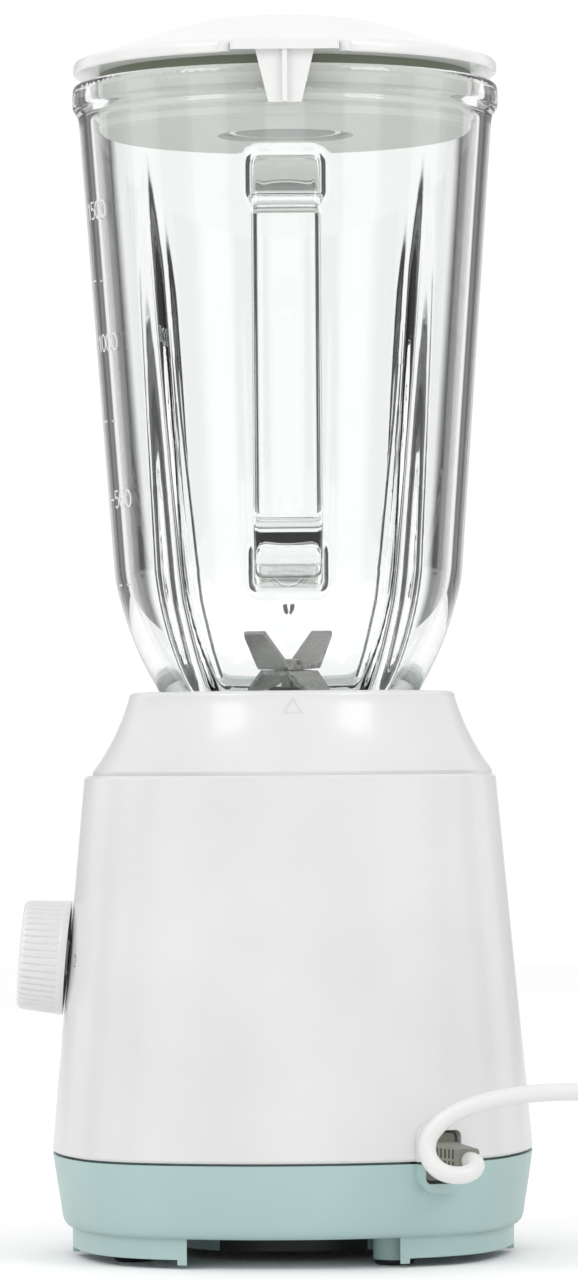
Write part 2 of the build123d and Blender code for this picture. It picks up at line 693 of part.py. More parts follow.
# ---- jar ----
def jar_outer():
    hip, foot_r = (JAR_HIP_R, JAR_HIP_Z), 37.5
    edges = [
        Line(at(0, JAR_FOOT_Z), at(foot_r, JAR_FOOT_Z)),
        Line(at(foot_r, JAR_FOOT_Z), at(foot_r, 178.5)),
        Line(at(foot_r, 178.5), at(41.0, 181.5)),
        ThreePointArc(at(41.0, 181.5), at(50.25, 198.8), at(*hip)),
        Line(at(*hip), at(68.25, 372.5)),
        ThreePointArc(at(68.25, 372.5), at(68.9, 374.6), at(JAR_RIM_R, 376.6)),
        Line(at(JAR_RIM_R, 376.6), at(JAR_RIM_R, 382.7)),
        ThreePointArc(at(JAR_RIM_R, 382.7), at(69.75, 383.95), at(68.5, JAR_RIM_Z)),
        Line(at(68.5, JAR_RIM_Z), at(0, JAR_RIM_Z)),
        Line(at(0, JAR_RIM_Z), at(0, JAR_FOOT_Z)),
    ]
    return turned_edges(*edges)


def jar_cavity():
    edges = [
        Line(at(0, JAR_FOOT_Z - 1), at(32.5, JAR_FOOT_Z - 1)),
        Line(at(32.5, JAR_FOOT_Z - 1), at(32.5, 180.5)),
        Line(at(32.5, 180.5), at(35.2, 184.0)),
        ThreePointArc(at(35.2, 184.0), at(45.4, 200.3), at(JAR_HIP_R - GLASS, 224.0)),
        Line(at(JAR_HIP_R - GLASS, 224.0), at(64.2, JAR_RIM_Z - 1.4)),
        Line(at(64.2, JAR_RIM_Z - 1.4), at(65.4, JAR_RIM_Z + 0.1)),
        Line(at(65.4, JAR_RIM_Z + 0.1), at(0, JAR_RIM_Z + 0.1)),
        Line(at(0, JAR_RIM_Z + 0.1), at(0, JAR_FOOT_Z - 1)),
    ]
    return turned_edges(*edges)


def jar_rib():
    """One inner rib: it grows out of the wall from its upper tip down to the foot."""
    points = [(63.0, 352), (58.8, 322), (53.0, 278), (48.2, 246), (43.6, 215), (38.0, 196), (33.6, 184),
              (40.5, 184), (50.0, 201), (56.0, 226), (66.0, 352)]
    face = Face(Wire(Polyline(*[at(r, z) for r, z in points], close=True).edges()))
    slab = extrude(face, 3.4, both=True)
    return slab


def handle():
    path = FilletPolyline(
        (0, -54, 349.3), (0, HANDLE_Y, 344.2), (0, HANDLE_Y, 231.6), (0, -46, 221.6), radius=[13, 13])
    start = Plane(origin=path @ 0, x_dir=(1, 0, 0), z_dir=path % 0)
    return sweep(start * RectangleRounded(HANDLE_WIDE, HANDLE_DEEP, 2.4), path=path)


def spout(inset):
    """The pouring lip, as a tapering boss on the +Y side."""
    low = Pos(0, 58.0 - inset, 352.0 + inset) * Ellipse(4.0, 6.0)
    high = Pos(0, 61.5, JAR_RIM_Z + (0.1 if inset else 0)) * Ellipse(17.0 - inset, 15.0 - inset)
    return loft([low, high], ruled=True)


def jar_glass():
    glass = jar_outer() + handle()
    roots = [e for e in glass.edges() if is_handle_root(e)]
    glass = fillet(roots, 2.2)
    glass += spout(0)
    glass -= jar_cavity()
    glass -= spout(4.4) & block((-30, 30), (0, 90), (300, 400))
    for k in range(4):
        glass += Rot(0, 0, 45 + 90 * k) * jar_rib() & jar_outer()
    return glass


def is_handle_root(edge):
    """Is this edge where the handle meets the jar's wall?"""
    box = edge.bounding_box()
    radius = math.hypot(edge.center().X, edge.center().Y)
    return box.max.Y < -40 and radius < JAR_RIM_R + 1 and box.size.X < HANDLE_WIDE + 8 and (
        210 < edge.center().Z < 240 or 335 < edge.center().Z < 362)


def jar_base():
    """The threaded ring that clamps the blade unit under the glass."""
    low = SOCKET_FLOOR_Z + FIT
    body = turned((24.0, low), (46.6, low), (47.4, low + 1), (47.4, 178.0), (46.4, 179.5), (40.4, 179.5),
                  (37.8, 177.6), (37.8, 161.4), (24.0, 161.4))
    for k in range(24):
        body -= Rot(0, 0, 15 * k) * (Pos(48.2, 0, 0) * disc(1.4, 160, 177))
    return body


def jar_gasket():
    return ring(30.5, 37.4, 164.0, JAR_FOOT_Z)


def blade_carrier():
    """The dished plate inside the jar's foot, with the tower that carries the spindle."""
    plate = turned(
        (37.4, 161.5), (37.4, 164.0), (23.4, 164.0), (21.0, 177.4), (10.2, 178.6), (8.6, 183.6),
        (7.0, 183.6), (7.0, 174.5), (18.4, 174.5), (20.6, 161.5),
    )
    return plate


def spindle_bush(low, high):
    return ring(SHAFT_R + RUNNING, 7.0, low, high)


def spindle_seal():
    inner = SHAFT_R + RUNNING
    return turned((inner, 181.8), (7.0, 181.8), (7.0, 183.8), (5.6, 184.4), (inner, 184.4))


# ---- blades ----
def wing(reach, root, tip, bend, z):
    """One blade arm: flat near the hub, then bent, tapering to a rounded tip, with a ground edge."""
    knee = 8.6
    lean = math.radians(bend)
    out_x, out_z = knee + reach * math.cos(lean), reach * math.sin(lean)
    rise_x, rise_z = -BLADE_THICK * math.sin(lean), BLADE_THICK * math.cos(lean)
    inner_knee = knee - BLADE_THICK * math.tan(lean / 2)
    side = [at(0, 0), at(knee, 0), at(out_x, out_z), at(out_x + rise_x, out_z + rise_z),
            at(inner_knee, BLADE_THICK), at(0, BLADE_THICK)]
    slab = extrude(Face(Wire(Polyline(*side, close=True).edges())), root, both=True)
    half, end = root / 2, out_x + 1
    plan = [(-1, -half), (knee + 1, -half), (end, -tip / 2), (end, tip / 2), (-1, half)]
    column = Pos(0, 0, -20) * extrude(Face(Wire(Polyline(*plan, close=True).edges())), 40)
    tips = sorted(column.edges().filter_by(Axis.Z), key=lambda e: e.center().X)[-2:]
    column = fillet(tips, tip * 0.42)
    ground = Pos(knee + 2 + reach, -half, BLADE_THICK) * Rot(45, 0, 0) * Box(2 * reach, 1.3, 1.3)
    bent = Pos(knee, 0, 0) * Rot(0, -bend, 0) * Pos(-knee, 0, 0) * ground
    return Pos(0, 0, z) * ((slab & column) - bent)


def blade(z, reach, bend, azimuth):
    """A pair of wings on one hub, punched for the spindle."""
    pair = disc(7.6, z, z + BLADE_THICK)
    for half_turn in (0, 180):
        pair += Rot(0, 0, azimuth + half_turn) * wing(reach, 13.0, 7.5, bend, z)
    return pair - disc(SPINDLE_TIP_R, z - 5, z + 5)


def blade_spindle():
    """The shaft in the bushes, its neck up to the blades' shoulder, and the tip they clamp on."""
    low, neck, shoulder = STAR_Z[0] + 1, 184.6, LOW_BLADE_Z - 0.6
    bar = disc(SHAFT_R, low, neck) + disc(SPINDLE_NECK_R, neck, shoulder)
    return bar + disc(SPINDLE_TIP_R, shoulder, HIGH_BLADE_Z + BLADE_THICK + 1.5)


def blade_nut():
    """A thin capped nut, so that the blades stand almost free above it."""
    low = HIGH_BLADE_Z + BLADE_THICK
    hexagon = Pos(0, 0, low) * extrude(RegularPolygon(4.2, 6), 1.9)
    hexagon = fillet(hexagon.faces().sort_by(Axis.Z)[-1].edges(), 0.4)
    return hexagon - disc(SPINDLE_TIP_R, low - 1, low + 1.5)


def blade_washers():
    return [ring(SPINDLE_TIP_R, 5.0, low, high) for low, high in (
        (LOW_BLADE_Z - 0.6, LOW_BLADE_Z), (LOW_BLADE_Z + BLADE_THICK, HIGH_BLADE_Z))]


def jar_coupling():
    """The star under the jar that drops into the motor's drive coupling."""
    low, high = STAR_Z
    return star(STAR_R, low, high) + disc(11.0, high, high + 2.4) - disc(SHAFT_R, low + 1, high + 3)


# ---- lid ----
def lid_dome_edges():
    """The lid's upper surface, from the cap's seat out to the rim."""
    seat, rim = at(CAP_R + 0.4, 404.9), at(LID_R, 390.6)
    slope = Spline(seat, at(42.4, 400.9), at(54.0, 396.8), at(62.0, 394.3), at(68.2, 392.4))
    edge = ThreePointArc(at(68.2, 392.4), at(69.55, 391.7), rim)
    return slope, edge


def lid():
    slope, edge = lid_dome_edges()
    thick = 2.4
    seat_z = 401.7
    corners = [at(LID_R, 390.6), at(LID_R, LID_FLANGE_Z + 0.5), at(LID_R - 0.5, LID_FLANGE_Z),
               at(59.5, LID_FLANGE_Z), at(59.5, 369.7), at(57.3, 369.7), at(57.3, 392.6),
               at(42.0, 398.4), at(34.0, seat_z - thick), at(22.0, seat_z - thick), at(22.0, 369.7),
               at(20.2, 369.7), at(20.2, seat_z), at(CAP_R + 0.4, seat_z), at(CAP_R + 0.4, 404.9)]
    shell = turned_edges(slope, edge, *Polyline(*corners).edges())
    return shell + lid_tab()


def lid_tab():
    """The thumb tab over the handle, with its tapered gusset and centre rib."""
    low, inner = LID_FLANGE_Z, JAR_RIM_R + 0.5
    tab = block((-17.4, 17.4), (-TAB_REACH, -62), (low, low + 2.9))
    tab = fillet(tab.edges().filter_by(Axis.Z).filter_by(lambda e: e.center().Y < -70), 1.5)
    points = [(-9.6, low + 1), (9.6, low + 1), (5.3, 371.4), (-5.3, 371.4)]
    face = Face(Wire(Polyline(*[(x, -inner, z) for x, z in points], close=True).edges()))
    gusset = extrude(face, 1.9, dir=(0, -1, 0))
    rib = block((-0.8, 0.8), (-inner - 3.6, -inner), (371.4, low + 1))
    bumps = Part()
    for x in (-19.2, 19.2):
        bumps += Pos(x, -66.8, 0) * disc(2.0, low, low + 3.3)
    return tab + gusset + rib + bumps


def lid_seal():
    """The silicone cup over the lid's plug, with two sealing fins."""
    fin = JAR_NECK_R - GLASS - 0.45
    return turned(
        (22.4, LID_PLUG_Z), (LID_PLUG_R - 1.2, LID_PLUG_Z), (LID_PLUG_R, LID_PLUG_Z + 1.2),
        (LID_PLUG_R, 371.6), (fin - 0.4, 372.6), (LID_PLUG_R, 373.6), (LID_PLUG_R, 377.0),
        (fin, 378.0), (LID_PLUG_R, 379.0), (LID_PLUG_R, LID_FLANGE_Z), (59.5, LID_FLANGE_Z),
        (59.5, LID_PLUG_Z + 1.7), (22.4, LID_PLUG_Z + 1.7),
    )


def filler_cap():
    """A measuring cup with its closed end up, hanging from its domed disc."""
    dome = Spline(at(0, CAP_TOP_Z), at(14, CAP_TOP_Z - 0.1), at(CAP_R - 1.0, CAP_TOP_Z - 0.7),
                  tangents=[(1, 0, 0), (1, 0, -0.08)])
    corners = [at(CAP_R - 1.0, CAP_TOP_Z - 0.7), at(CAP_R, CAP_TOP_Z - 1.5), at(CAP_R, 402.0),
               at(19.8, 402.0), at(18.4, 369.0), at(16.6, 369.0), at(17.9, 400.2), at(0, 400.2),
               at(0, CAP_TOP_Z)]
    return turned_edges(dome, *Polyline(*corners).edges())


# ---- cord ----
PLUG_FRAME = Plane(
    origin=(PLUG_X, PLUG_Y, PLUG_Z),
    x_dir=(math.cos(math.radians(PLUG_TURN)), math.sin(math.radians(PLUG_TURN)), 0),
    z_dir=(-math.sin(math.radians(PLUG_TURN)), math.cos(math.radians(PLUG_TURN)), 0),
).location


def exit_point(along):
    """A point on the exit's centreline, this far out of the wall."""
    return (EXIT_X + along * math.sin(EXIT_IN), EXIT_Y - along * math.cos(EXIT_IN), EXIT_Z)


def cord_boot():
    """The strain relief: a flange behind the wall, a plate in the opening and a slotted taper."""
    gap, plate_back, pitch, slot = 1.0, -WALL - 1.7, 2.4, 1.2
    root = RectangleRounded(10.2, 9.8, 1.2)
    end = Pos(0, 0, BOOT_LONG) * RectangleRounded(7.2, 7.4, 1.2)
    boot = loft([root, end], ruled=True)
    plate = RectangleRounded(RECESS_WIDE - 2 * gap, RECESS_HIGH - 2 * gap, 1.5)
    boot += Pos(0, 0, plate_back) * extrude(plate, -plate_back - 0.5)
    boot += Pos(0, 0, -7) * extrude(RectangleRounded(9.6, 9.6, 1.5), 8)
    boot += Pos(0, 0, -WALL - 3.6) * extrude(RectangleRounded(FLANGE_WIDE, FLANGE_HIGH, 1.5), 2.0)
    for k in range(6):
        z = 3.6 + pitch * k
        for sx in (-1, 1):
            for sy in (-1, 1):
                boot -= block(sorted((sx * 2.3, sx * 7)), sorted((sy * 0.4, sy * 3.3)), (z, z + slot))
    return EXIT_FRAME * boot


def lead_points():
    """The free cord's route from the boot, round its loop and down to the coil."""
    return [
        exit_point(BOOT_LONG), (57.7, -91.6, 35.4), (57.0, -96.6, 32.9), (52.6, -99.6, 31.3),
        (46.0, -99.3, 32.5), (41.9, -96.8, 37.2), (42.3, -95.6, 43.6), (48.0, -95.6, 49.6),
        (57.6, -96.8, 54.0), (72.0, -98.4, 57.0), (91.0, -99.6, 57.8), (112.0, -99.4, 55.6),
        (134.0, -96.0, 48.0), (154.0, -88.0, 36.0), (170.0, -75.0, 21.0), (179.4, -58.0, 8.0),
        (182.8, -42.0, CORD_D / 2), (COIL_X + 37.6, COIL_Y, CORD_D / 2),
    ]


def tail_points():
    """From the top of the coil over to the plug."""
    return [
        (COIL_X + 34.7, COIL_Y, 7.9), (COIL_X + 34.2, COIL_Y + 14, 8.4), (COIL_X + 29.6, COIL_Y + 27.2, 8.8),
        (PLUG_X, PLUG_Y, PLUG_Z),
    ]


def cord_coil():
    ring_shape = turned(
        (COIL_IN, 0), (COIL_OUT, 0), (COIL_OUT, CORD_D), (COIL_OUT - 2.6, COIL_TOP),
        (COIL_IN + 2.6, COIL_TOP), (COIL_IN, CORD_D),
    )
    return Pos(COIL_X, COIL_Y, 0) * ring_shape


def tie_loop():
    """The wrap round the coil's bundle, seen as a thick frame in the radial plane."""
    middle = (COIL_IN + COIL_OUT) / 2
    half = (COIL_OUT - COIL_IN) / 2
    outer = block((middle - half - 0.9, middle + half + 0.9), (-3, 3), (0, COIL_TOP + 0.9))
    outer = fillet(outer.edges().filter_by(Axis.Y).filter_by(lambda e: e.center().Z > 5), 3.0)
    inner = block((middle - half, middle + half), (-4, 4), (0.8, COIL_TOP))
    inner = fillet(inner.edges().filter_by(Axis.Y).filter_by(lambda e: e.center().Z > 5), 2.2)
    return Pos(COIL_X, COIL_Y, 0) * (Rot(0, 0, TIE_TURN) * (outer - inner))


def plug_body():
    """A flat two-pin plug lying on its side, tapering to the cord."""
    sections = [(0, 8.0, 8.0, 3.9), (9, 12.0, 10.5, 5.0), (19, 29.0, 15.0, 6.5), (34, 34.0, 17.6, 7.5)]
    parts = []
    for (a, wa, ha, ra), (b, wb, hb, rb) in zip(sections, sections[1:]):
        low = Pos(0, 0, a) * RectangleRounded(wa, ha, ra)
        high = Pos(0, 0, b) * RectangleRounded(wb, hb, rb)
        parts.append(loft([low, high], ruled=True))
    return PLUG_FRAME * (parts[0] + parts[1] + parts[2])


def plug_pins():
    pin = disc(2.4, 34.0, 51.5) + turned((0, 51.5), (2.4, 51.5), (1.5, 52.9), (0, 53.0))
    return [PLUG_FRAME * (Pos(x, 0, 0) * pin) for x in (-9.5, 9.5)]


def cord_lead():
    points = lead_points()
    radii = corner_radii(points)
    print("lead radii", [round(r, 1) for r in radii])
    return tube(CORD_D / 2, points, radii)


def cord_tail():
    points = tail_points()
    radii = corner_radii(points)
    print("tail radii", [round(r, 1) for r in radii])
    return tube(CORD_D / 2, points, radii)


def report_cord(name, solid):
    section = math.pi * (CORD_D / 2) ** 2
    print(name, "length", round(solid.volume / section, 1), "mm by volume over section")


# ---- write everything ----
def write_base():
    save("housing", housing())
    save("base_tray", base_tray())
    save("motor_vent", motor_vent())
    save("rubber_feet", *around(rubber_foot(), FEET))
    save("tray_screws", *around(screw(3.8, 1.75, 26.0, 60.0), POSTS))
    save("shaft_seal", shaft_seal())
    save("rotary_switch", rotary_switch())
    save("switch_nut", switch_nut())
    save("interlock_guide", interlock_guide())
    save("interlock_switch", interlock_switch())
    save("control_board", control_board())
    save("suppression_capacitor", suppression_capacitor())
    save("terminal_block", terminal_block())
    save("cord_clamp", cord_clamp())
    save("clamp_screws", *clamp_screws())
    save("internal_wires", *internal_wires())


def write_motor():
    save("motor_stator", motor_stator())
    save("field_coils", *field_coils())
    save("motor_bracket_top", motor_bracket_top())
    save("motor_bracket_low", motor_bracket_low())
    save("motor_bearings", ball_bearing(BRACKET_TOP_Z - 1), ball_bearing(BRACKET_LOW_Z - 4))
    save("brush_holders", brush_holder(1), brush_holder(-1))
    save("carbon_brushes", carbon_brush(1), carbon_brush(-1))
    save("brush_springs", brush_spring(1), brush_spring(-1))
    save("motor_bolts", *motor_bolts())
    save("motor_grommets", *around(motor_grommet(), MOTOR_EARS))
    save("mount_screws", *around(mount_screw(), MOTOR_EARS))
    save("motor_shaft", motor_shaft())
    save("armature_core", armature_core())
    save("armature_windings", armature_windings())
    save("commutator", commutator())
    save("cooling_fan", cooling_fan())
    save("drive_coupling", drive_coupling())


def write_controls():
    save("control_knob", control_knob())
    save("knob_spindle", knob_spindle())
    save("interlock_pin", interlock_pin())
    save("interlock_spring", interlock_spring())


def write_jar():
    save("jar_glass", jar_glass())
    save("jar_base", jar_base())
    save("jar_gasket", jar_gasket())
    save("blade_carrier", blade_carrier())
    save("spindle_bushes", spindle_bush(174.5, 177.5), spindle_bush(178.6, 181.6))
    save("spindle_seal", spindle_seal())
    save("blade_spindle", blade_spindle())
    save("lower_blade", blade(LOW_BLADE_Z, 15.0, -34, -57))
    save("upper_blade", blade(HIGH_BLADE_Z, 17.5, 44, 57))
    save("blade_washers", *blade_washers())
    save("blade_nut", blade_nut())
    save("jar_coupling", jar_coupling())
    save("lid", lid())
    save("lid_seal", lid_seal())
    save("filler_cap", filler_cap())


def write_cord():
    lead, tail, tie = cord_lead(), cord_tail(), tie_loop()
    report_cord("lead", lead)
    report_cord("tail", tail)
    save("cord_boot", cord_boot())
    save("cord_inner", cord_inner())
    save("cord_lead", lead)
    save("cord_coil", cord_coil() - tie)
    save("cord_tail", tail)
    save("cord_tie", tie)
    save("plug_body", plug_body())
    save("plug_pins", *plug_pins())


os.makedirs("parts", exist_ok=True)
write_base()
write_motor()
write_controls()
write_jar()
write_cord()
print("motor axis at", round(AXIS_X, 3), round(AXIS_Y, 3))
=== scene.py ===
import json
import math

import bmesh
import bpy
import numpy as np
from mathutils import Matrix, Vector
from mathutils.bvhtree import BVHTree


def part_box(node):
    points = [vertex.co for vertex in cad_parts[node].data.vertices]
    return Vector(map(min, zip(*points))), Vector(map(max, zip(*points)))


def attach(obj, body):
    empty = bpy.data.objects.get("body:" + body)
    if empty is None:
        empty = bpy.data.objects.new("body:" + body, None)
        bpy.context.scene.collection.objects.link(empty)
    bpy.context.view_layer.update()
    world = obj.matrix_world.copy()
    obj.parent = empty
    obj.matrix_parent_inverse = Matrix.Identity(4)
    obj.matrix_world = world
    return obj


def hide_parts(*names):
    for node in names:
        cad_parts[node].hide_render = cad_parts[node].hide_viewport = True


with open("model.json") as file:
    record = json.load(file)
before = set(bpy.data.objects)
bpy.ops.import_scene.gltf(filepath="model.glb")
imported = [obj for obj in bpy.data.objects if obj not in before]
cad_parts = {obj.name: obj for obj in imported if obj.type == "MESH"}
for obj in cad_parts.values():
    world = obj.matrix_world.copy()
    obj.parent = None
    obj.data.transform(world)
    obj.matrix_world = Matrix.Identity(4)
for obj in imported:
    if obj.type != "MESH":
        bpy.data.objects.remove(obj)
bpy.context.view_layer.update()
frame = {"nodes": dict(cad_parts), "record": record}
nodes = frame["nodes"]

# Shapes below are in millimetres around the motor axis, and place() puts them in the frame.
MM = 0.001
shaft_low, shaft_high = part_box("motor_shaft")
AXIS = Vector(((shaft_low.x + shaft_high.x) / 2, (shaft_low.y + shaft_high.y) / 2, 0))

# ---- driving dimensions ----
SEAM_Z = 34.1
SHOULDER_Z = 157.0
BODY_HALF_BOTTOM = 79.0
BODY_HALF_TOP = 67.8
CORNER_ARC = 0.57
CORNER_CENTRE = 0.355
JAR_FOOT_Z = 166.5
JAR_RIM_Z = 384.5
CORD_D = 5.6
EXIT_TURN = math.radians(25)
EXIT_Z = 35.4
BOOT_LONG = 20.0
COIL = Vector((145.0, -26.0, 0.0))
HANDLE_HALF_WIDE = 10.8
HANDLE_HALF_DEEP = 7.0
HANDLE_CORNER = 2.4
HANDLE_BEND = 13.0
KNOB_Z = 97.0
KNOB_GAP = 0.6
KNOB_LONG = 15.3
KNOB_RIBS = 48
KNOB_DISH = 0.5
DIAL_REACH = 24.0
CAD_CREASE = math.radians(32)


def place(x, y, z):
    """A point in millimetres around the motor axis, in the frame's metres."""
    return AXIS + Vector((x, y, z)) * MM


# ---- camera ----
CAMERA_BACK = 1947.0
CAMERA_HIGH = 165.0
CAMERA_PITCH = 1.07
CAMERA_ROLL = -0.43
LENS = 165.9


def make_camera():
    data = bpy.data.cameras.new("photo_camera")
    data.lens = LENS
    data.clip_start, data.clip_end = 0.05, 50
    camera = bpy.data.objects.new("photo_camera", data)
    bpy.context.scene.collection.objects.link(camera)
    camera.matrix_world = (
        Matrix.Translation(place(0, -CAMERA_BACK, CAMERA_HIGH))
        @ Matrix.Rotation(math.radians(90 + CAMERA_PITCH), 4, "X")
        @ Matrix.Rotation(math.radians(CAMERA_ROLL), 4, "Z")
    )
    bpy.context.scene.camera = camera


make_camera()


# ---- material helpers ----
class Nodes:
    """A short way to build one material's node tree."""

    def __init__(self, name):
        self.material = bpy.data.materials.new(name)
        self.material.use_nodes = True
        self.tree = self.material.node_tree
        self.tree.nodes.clear()
        self.output = self.tree.nodes.new("ShaderNodeOutputMaterial")

    def add(self, kind, **values):
        node = self.tree.nodes.new("ShaderNode" + kind)
        for name, value in values.items():
            if name in node.bl_rna.properties:
                setattr(node, name, value)
            else:
                node.inputs[name.replace("_", " ")].default_value = value
        return node

    def link(self, source, target):
        self.tree.links.new(source, target)

    def noise(self, scale, detail=4.0, rough=0.5):
        where = self.add("TexCoord")
        texture = self.add("TexNoise", Scale=scale, Detail=detail, Roughness=rough)
        self.link(where.outputs["Object"], texture.inputs["Vector"])
        return texture.outputs["Fac"]

    def ramp(self, factor, low, high, start=0.35, end=0.65):
        ramp = self.add("ValToRGB")
        ramp.color_ramp.elements[0].position = start
        ramp.color_ramp.elements[1].position = end
        ramp.color_ramp.elements[0].color = rgba(low)
        ramp.color_ramp.elements[1].color = rgba(high)
        self.link(factor, ramp.inputs["Fac"])
        return ramp.outputs["Color"]

    def spread(self, factor, low, high):
        """The factor mapped from 0.3 to 0.7 onto a range of values."""
        node = self.add("MapRange", From_Min=0.3, From_Max=0.7, To_Min=low, To_Max=high)
        self.link(factor, node.inputs["Value"])
        return node.outputs["Result"]

    def bump(self, factor, strength, depth):
        node = self.add("Bump", Strength=strength, Distance=depth)
        self.link(factor, node.inputs["Height"])
        return node.outputs["Normal"]

    def finish(self, shader):
        self.link(shader.outputs[0], self.output.inputs["Surface"])
        return self.material


def rgba(colour):
    return (*colour[:3], 1.0)


def shade(colour, factor):
    return tuple(c * factor for c in colour)


def moulded(name, colour, rough, grain=900.0, depth=0.00002, coat=0.0, speckle=0.03, strength=0.25):
    """Moulded plastic or rubber: slight mottling, a fine texture and patchy gloss."""
    n = Nodes(name)
    shader = n.add("BsdfPrincipled", Coat_Weight=coat, Coat_Roughness=0.14)
    broad = n.noise(18.0, 3.0)
    fine = n.noise(grain, 5.0, 0.6)
    mottled = n.ramp(broad, shade(colour, 1 - speckle), shade(colour, 1 + speckle))
    n.link(mottled, shader.inputs["Base Color"])
    n.link(n.spread(n.noise(60.0, 6.0), rough * 0.88, rough * 1.12), shader.inputs["Roughness"])
    n.link(n.bump(fine, strength, depth), shader.inputs["Normal"])
    return n.finish(shader)


def metal(name, colour, rough, stretch=(1.0, 1.0, 40.0), depth=0.00001):
    """Machined, drawn or cast metal with fine lines that run across the stretched axis."""
    n = Nodes(name)
    shader = n.add("BsdfPrincipled", Metallic=1.0)
    where = n.add("TexCoord")
    mapping = n.add("Mapping")
    mapping.inputs["Scale"].default_value = stretch
    lines = n.add("TexNoise", Scale=260.0, Detail=6.0, Roughness=0.7)
    n.link(where.outputs["Object"], mapping.inputs["Vector"])
    n.link(mapping.outputs["Vector"], lines.inputs["Vector"])
    n.link(n.ramp(n.noise(45.0), shade(colour, 0.86), colour), shader.inputs["Base Color"])
    n.link(n.spread(lines.outputs["Fac"], rough * 0.75, rough * 1.3), shader.inputs["Roughness"])
    n.link(n.bump(lines.outputs["Fac"], 0.3, depth), shader.inputs["Normal"])
    return n.finish(shader)


GLASS_TINT = (0.985, 0.995, 0.99, 1)
GLASS_SHADOW = (0.93, 0.95, 0.94, 1)
GLASS_DEPTH = (0.60, 0.72, 0.68, 1)
GLASS_BOUNCES = 9.5
GLASS_GLOW = 0.7


def clear_glass():
    """Pressed glass with a faint ripple.

    Shadow and diffuse rays pass straight through, and a ray that has bounced too often to get out
    meets a pale glow, which stands for the light that it would still have found.
    """
    n = Nodes("jar_clear_glass")
    shader = n.add("BsdfPrincipled", Roughness=0.0, IOR=1.5, Transmission_Weight=1.0)
    shader.inputs["Base Color"].default_value = GLASS_TINT
    n.link(n.bump(n.noise(26.0, 2.0), 0.05, 0.0001), shader.inputs["Normal"])
    through = n.add("BsdfTransparent")
    through.inputs["Color"].default_value = GLASS_SHADOW
    path = n.add("LightPath")
    either = n.add("Math", operation="MAXIMUM")
    n.link(path.outputs["Is Shadow Ray"], either.inputs[0])
    n.link(path.outputs["Is Diffuse Ray"], either.inputs[1])
    trapped = n.add("Emission", Strength=GLASS_GLOW)
    deep = n.add("Math", operation="GREATER_THAN")
    n.link(path.outputs["Ray Depth"], deep.inputs[0])
    deep.inputs[1].default_value = GLASS_BOUNCES
    clear = n.add("MixShader")
    n.link(deep.outputs[0], clear.inputs[0])
    n.link(shader.outputs[0], clear.inputs[1])
    n.link(trapped.outputs[0], clear.inputs[2])
    mix = n.add("MixShader")
    n.link(either.outputs[0], mix.inputs[0])
    n.link(clear.outputs[0], mix.inputs[1])
    n.link(through.outputs[0], mix.inputs[2])
    absorb = n.add("VolumeAbsorption", Density=2.0)
    absorb.inputs["Color"].default_value = GLASS_DEPTH
    n.link(absorb.outputs[0], n.output.inputs["Volume"])
    return n.finish(mix)


WHITE = (0.64, 0.64, 0.637)
LID_WHITE = (0.70, 0.70, 0.695)
SEA_GREEN = (0.355, 0.49, 0.475)
SILICONE = (0.62, 0.61, 0.585)
# Dark olive painted shade for the top of the lid seal, where it sits in the gap under the lid's flange.
SEAL_PAINTED_SHADE = (0.15, 0.16, 0.115)
BOOT_OLIVE = (0.20, 0.205, 0.17)
CORD_WHITE = (0.68, 0.68, 0.675)
INK_GREY = (0.20, 0.20, 0.20)
ENAMEL_WHITE = (0.66, 0.66, 0.66)
# Heights in metres where the lid seal turns from pale silicone to dark olive painted shade.
SEAL_PALE_TO = 0.3815
SEAL_PAINTED_SHADE_FROM = 0.3850

materials = {
    "white_plastic": moulded("satin_white_abs", WHITE, 0.36, coat=0.45),
    "lid_white": moulded("gloss_white_pp", LID_WHITE, 0.22, coat=0.3, speckle=0.015),
    "sea_green_plastic": moulded("sea_green_abs", SEA_GREEN, 0.42, coat=0.05),
    "black_plastic": moulded("black_nylon", (0.018, 0.018, 0.019), 0.45, speckle=0.2),
    "phenolic": moulded("brown_phenolic", (0.07, 0.045, 0.03), 0.35, speckle=0.25),
    "grey_silicone": moulded("taupe_silicone", SILICONE, 0.5, grain=500.0, speckle=0.05),
    "black_rubber": moulded("black_rubber", (0.015, 0.015, 0.015), 0.7, grain=500.0, speckle=0.3),
    "boot_rubber": moulded("olive_boot_pvc", BOOT_OLIVE, 0.5, grain=600.0, speckle=0.08),
    "cord_white": moulded("white_cord_pvc", CORD_WHITE, 0.32, grain=400.0, speckle=0.02),
    "stainless": metal("ground_stainless", (0.30, 0.30, 0.29), 0.24, (1.0, 14.0, 1.0)),
    "steel": metal("zinc_plated_steel", (0.55, 0.56, 0.57), 0.32),
    "lamination": metal("stacked_steel", (0.22, 0.22, 0.23), 0.45, (1.0, 1.0, 60.0), 0.00006),
    "aluminium": metal("cast_aluminium", (0.62, 0.62, 0.63), 0.42, (1.0, 1.0, 1.0), 0.00004),
    "copper": metal("enamelled_copper", (0.62, 0.24, 0.10), 0.3, (1.0, 30.0, 30.0), 0.00008),
    "brass": metal("plain_brass", (0.72, 0.50, 0.20), 0.25),
    "bronze": metal("sintered_bronze", (0.50, 0.30, 0.15), 0.5, (1.0, 1.0, 1.0)),
    "carbon": moulded("pressed_carbon", (0.03, 0.03, 0.032), 0.55, speckle=0.3),
    "board": moulded("phenolic_board", (0.33, 0.22, 0.08), 0.5, speckle=0.12),
    "film_case": moulded("yellow_film_case", (0.72, 0.48, 0.06), 0.3, speckle=0.05),
    "wire_sleeve": moulded("blue_wire_sleeve", (0.08, 0.18, 0.45), 0.4, speckle=0.05),
    "glass": clear_glass(),
}


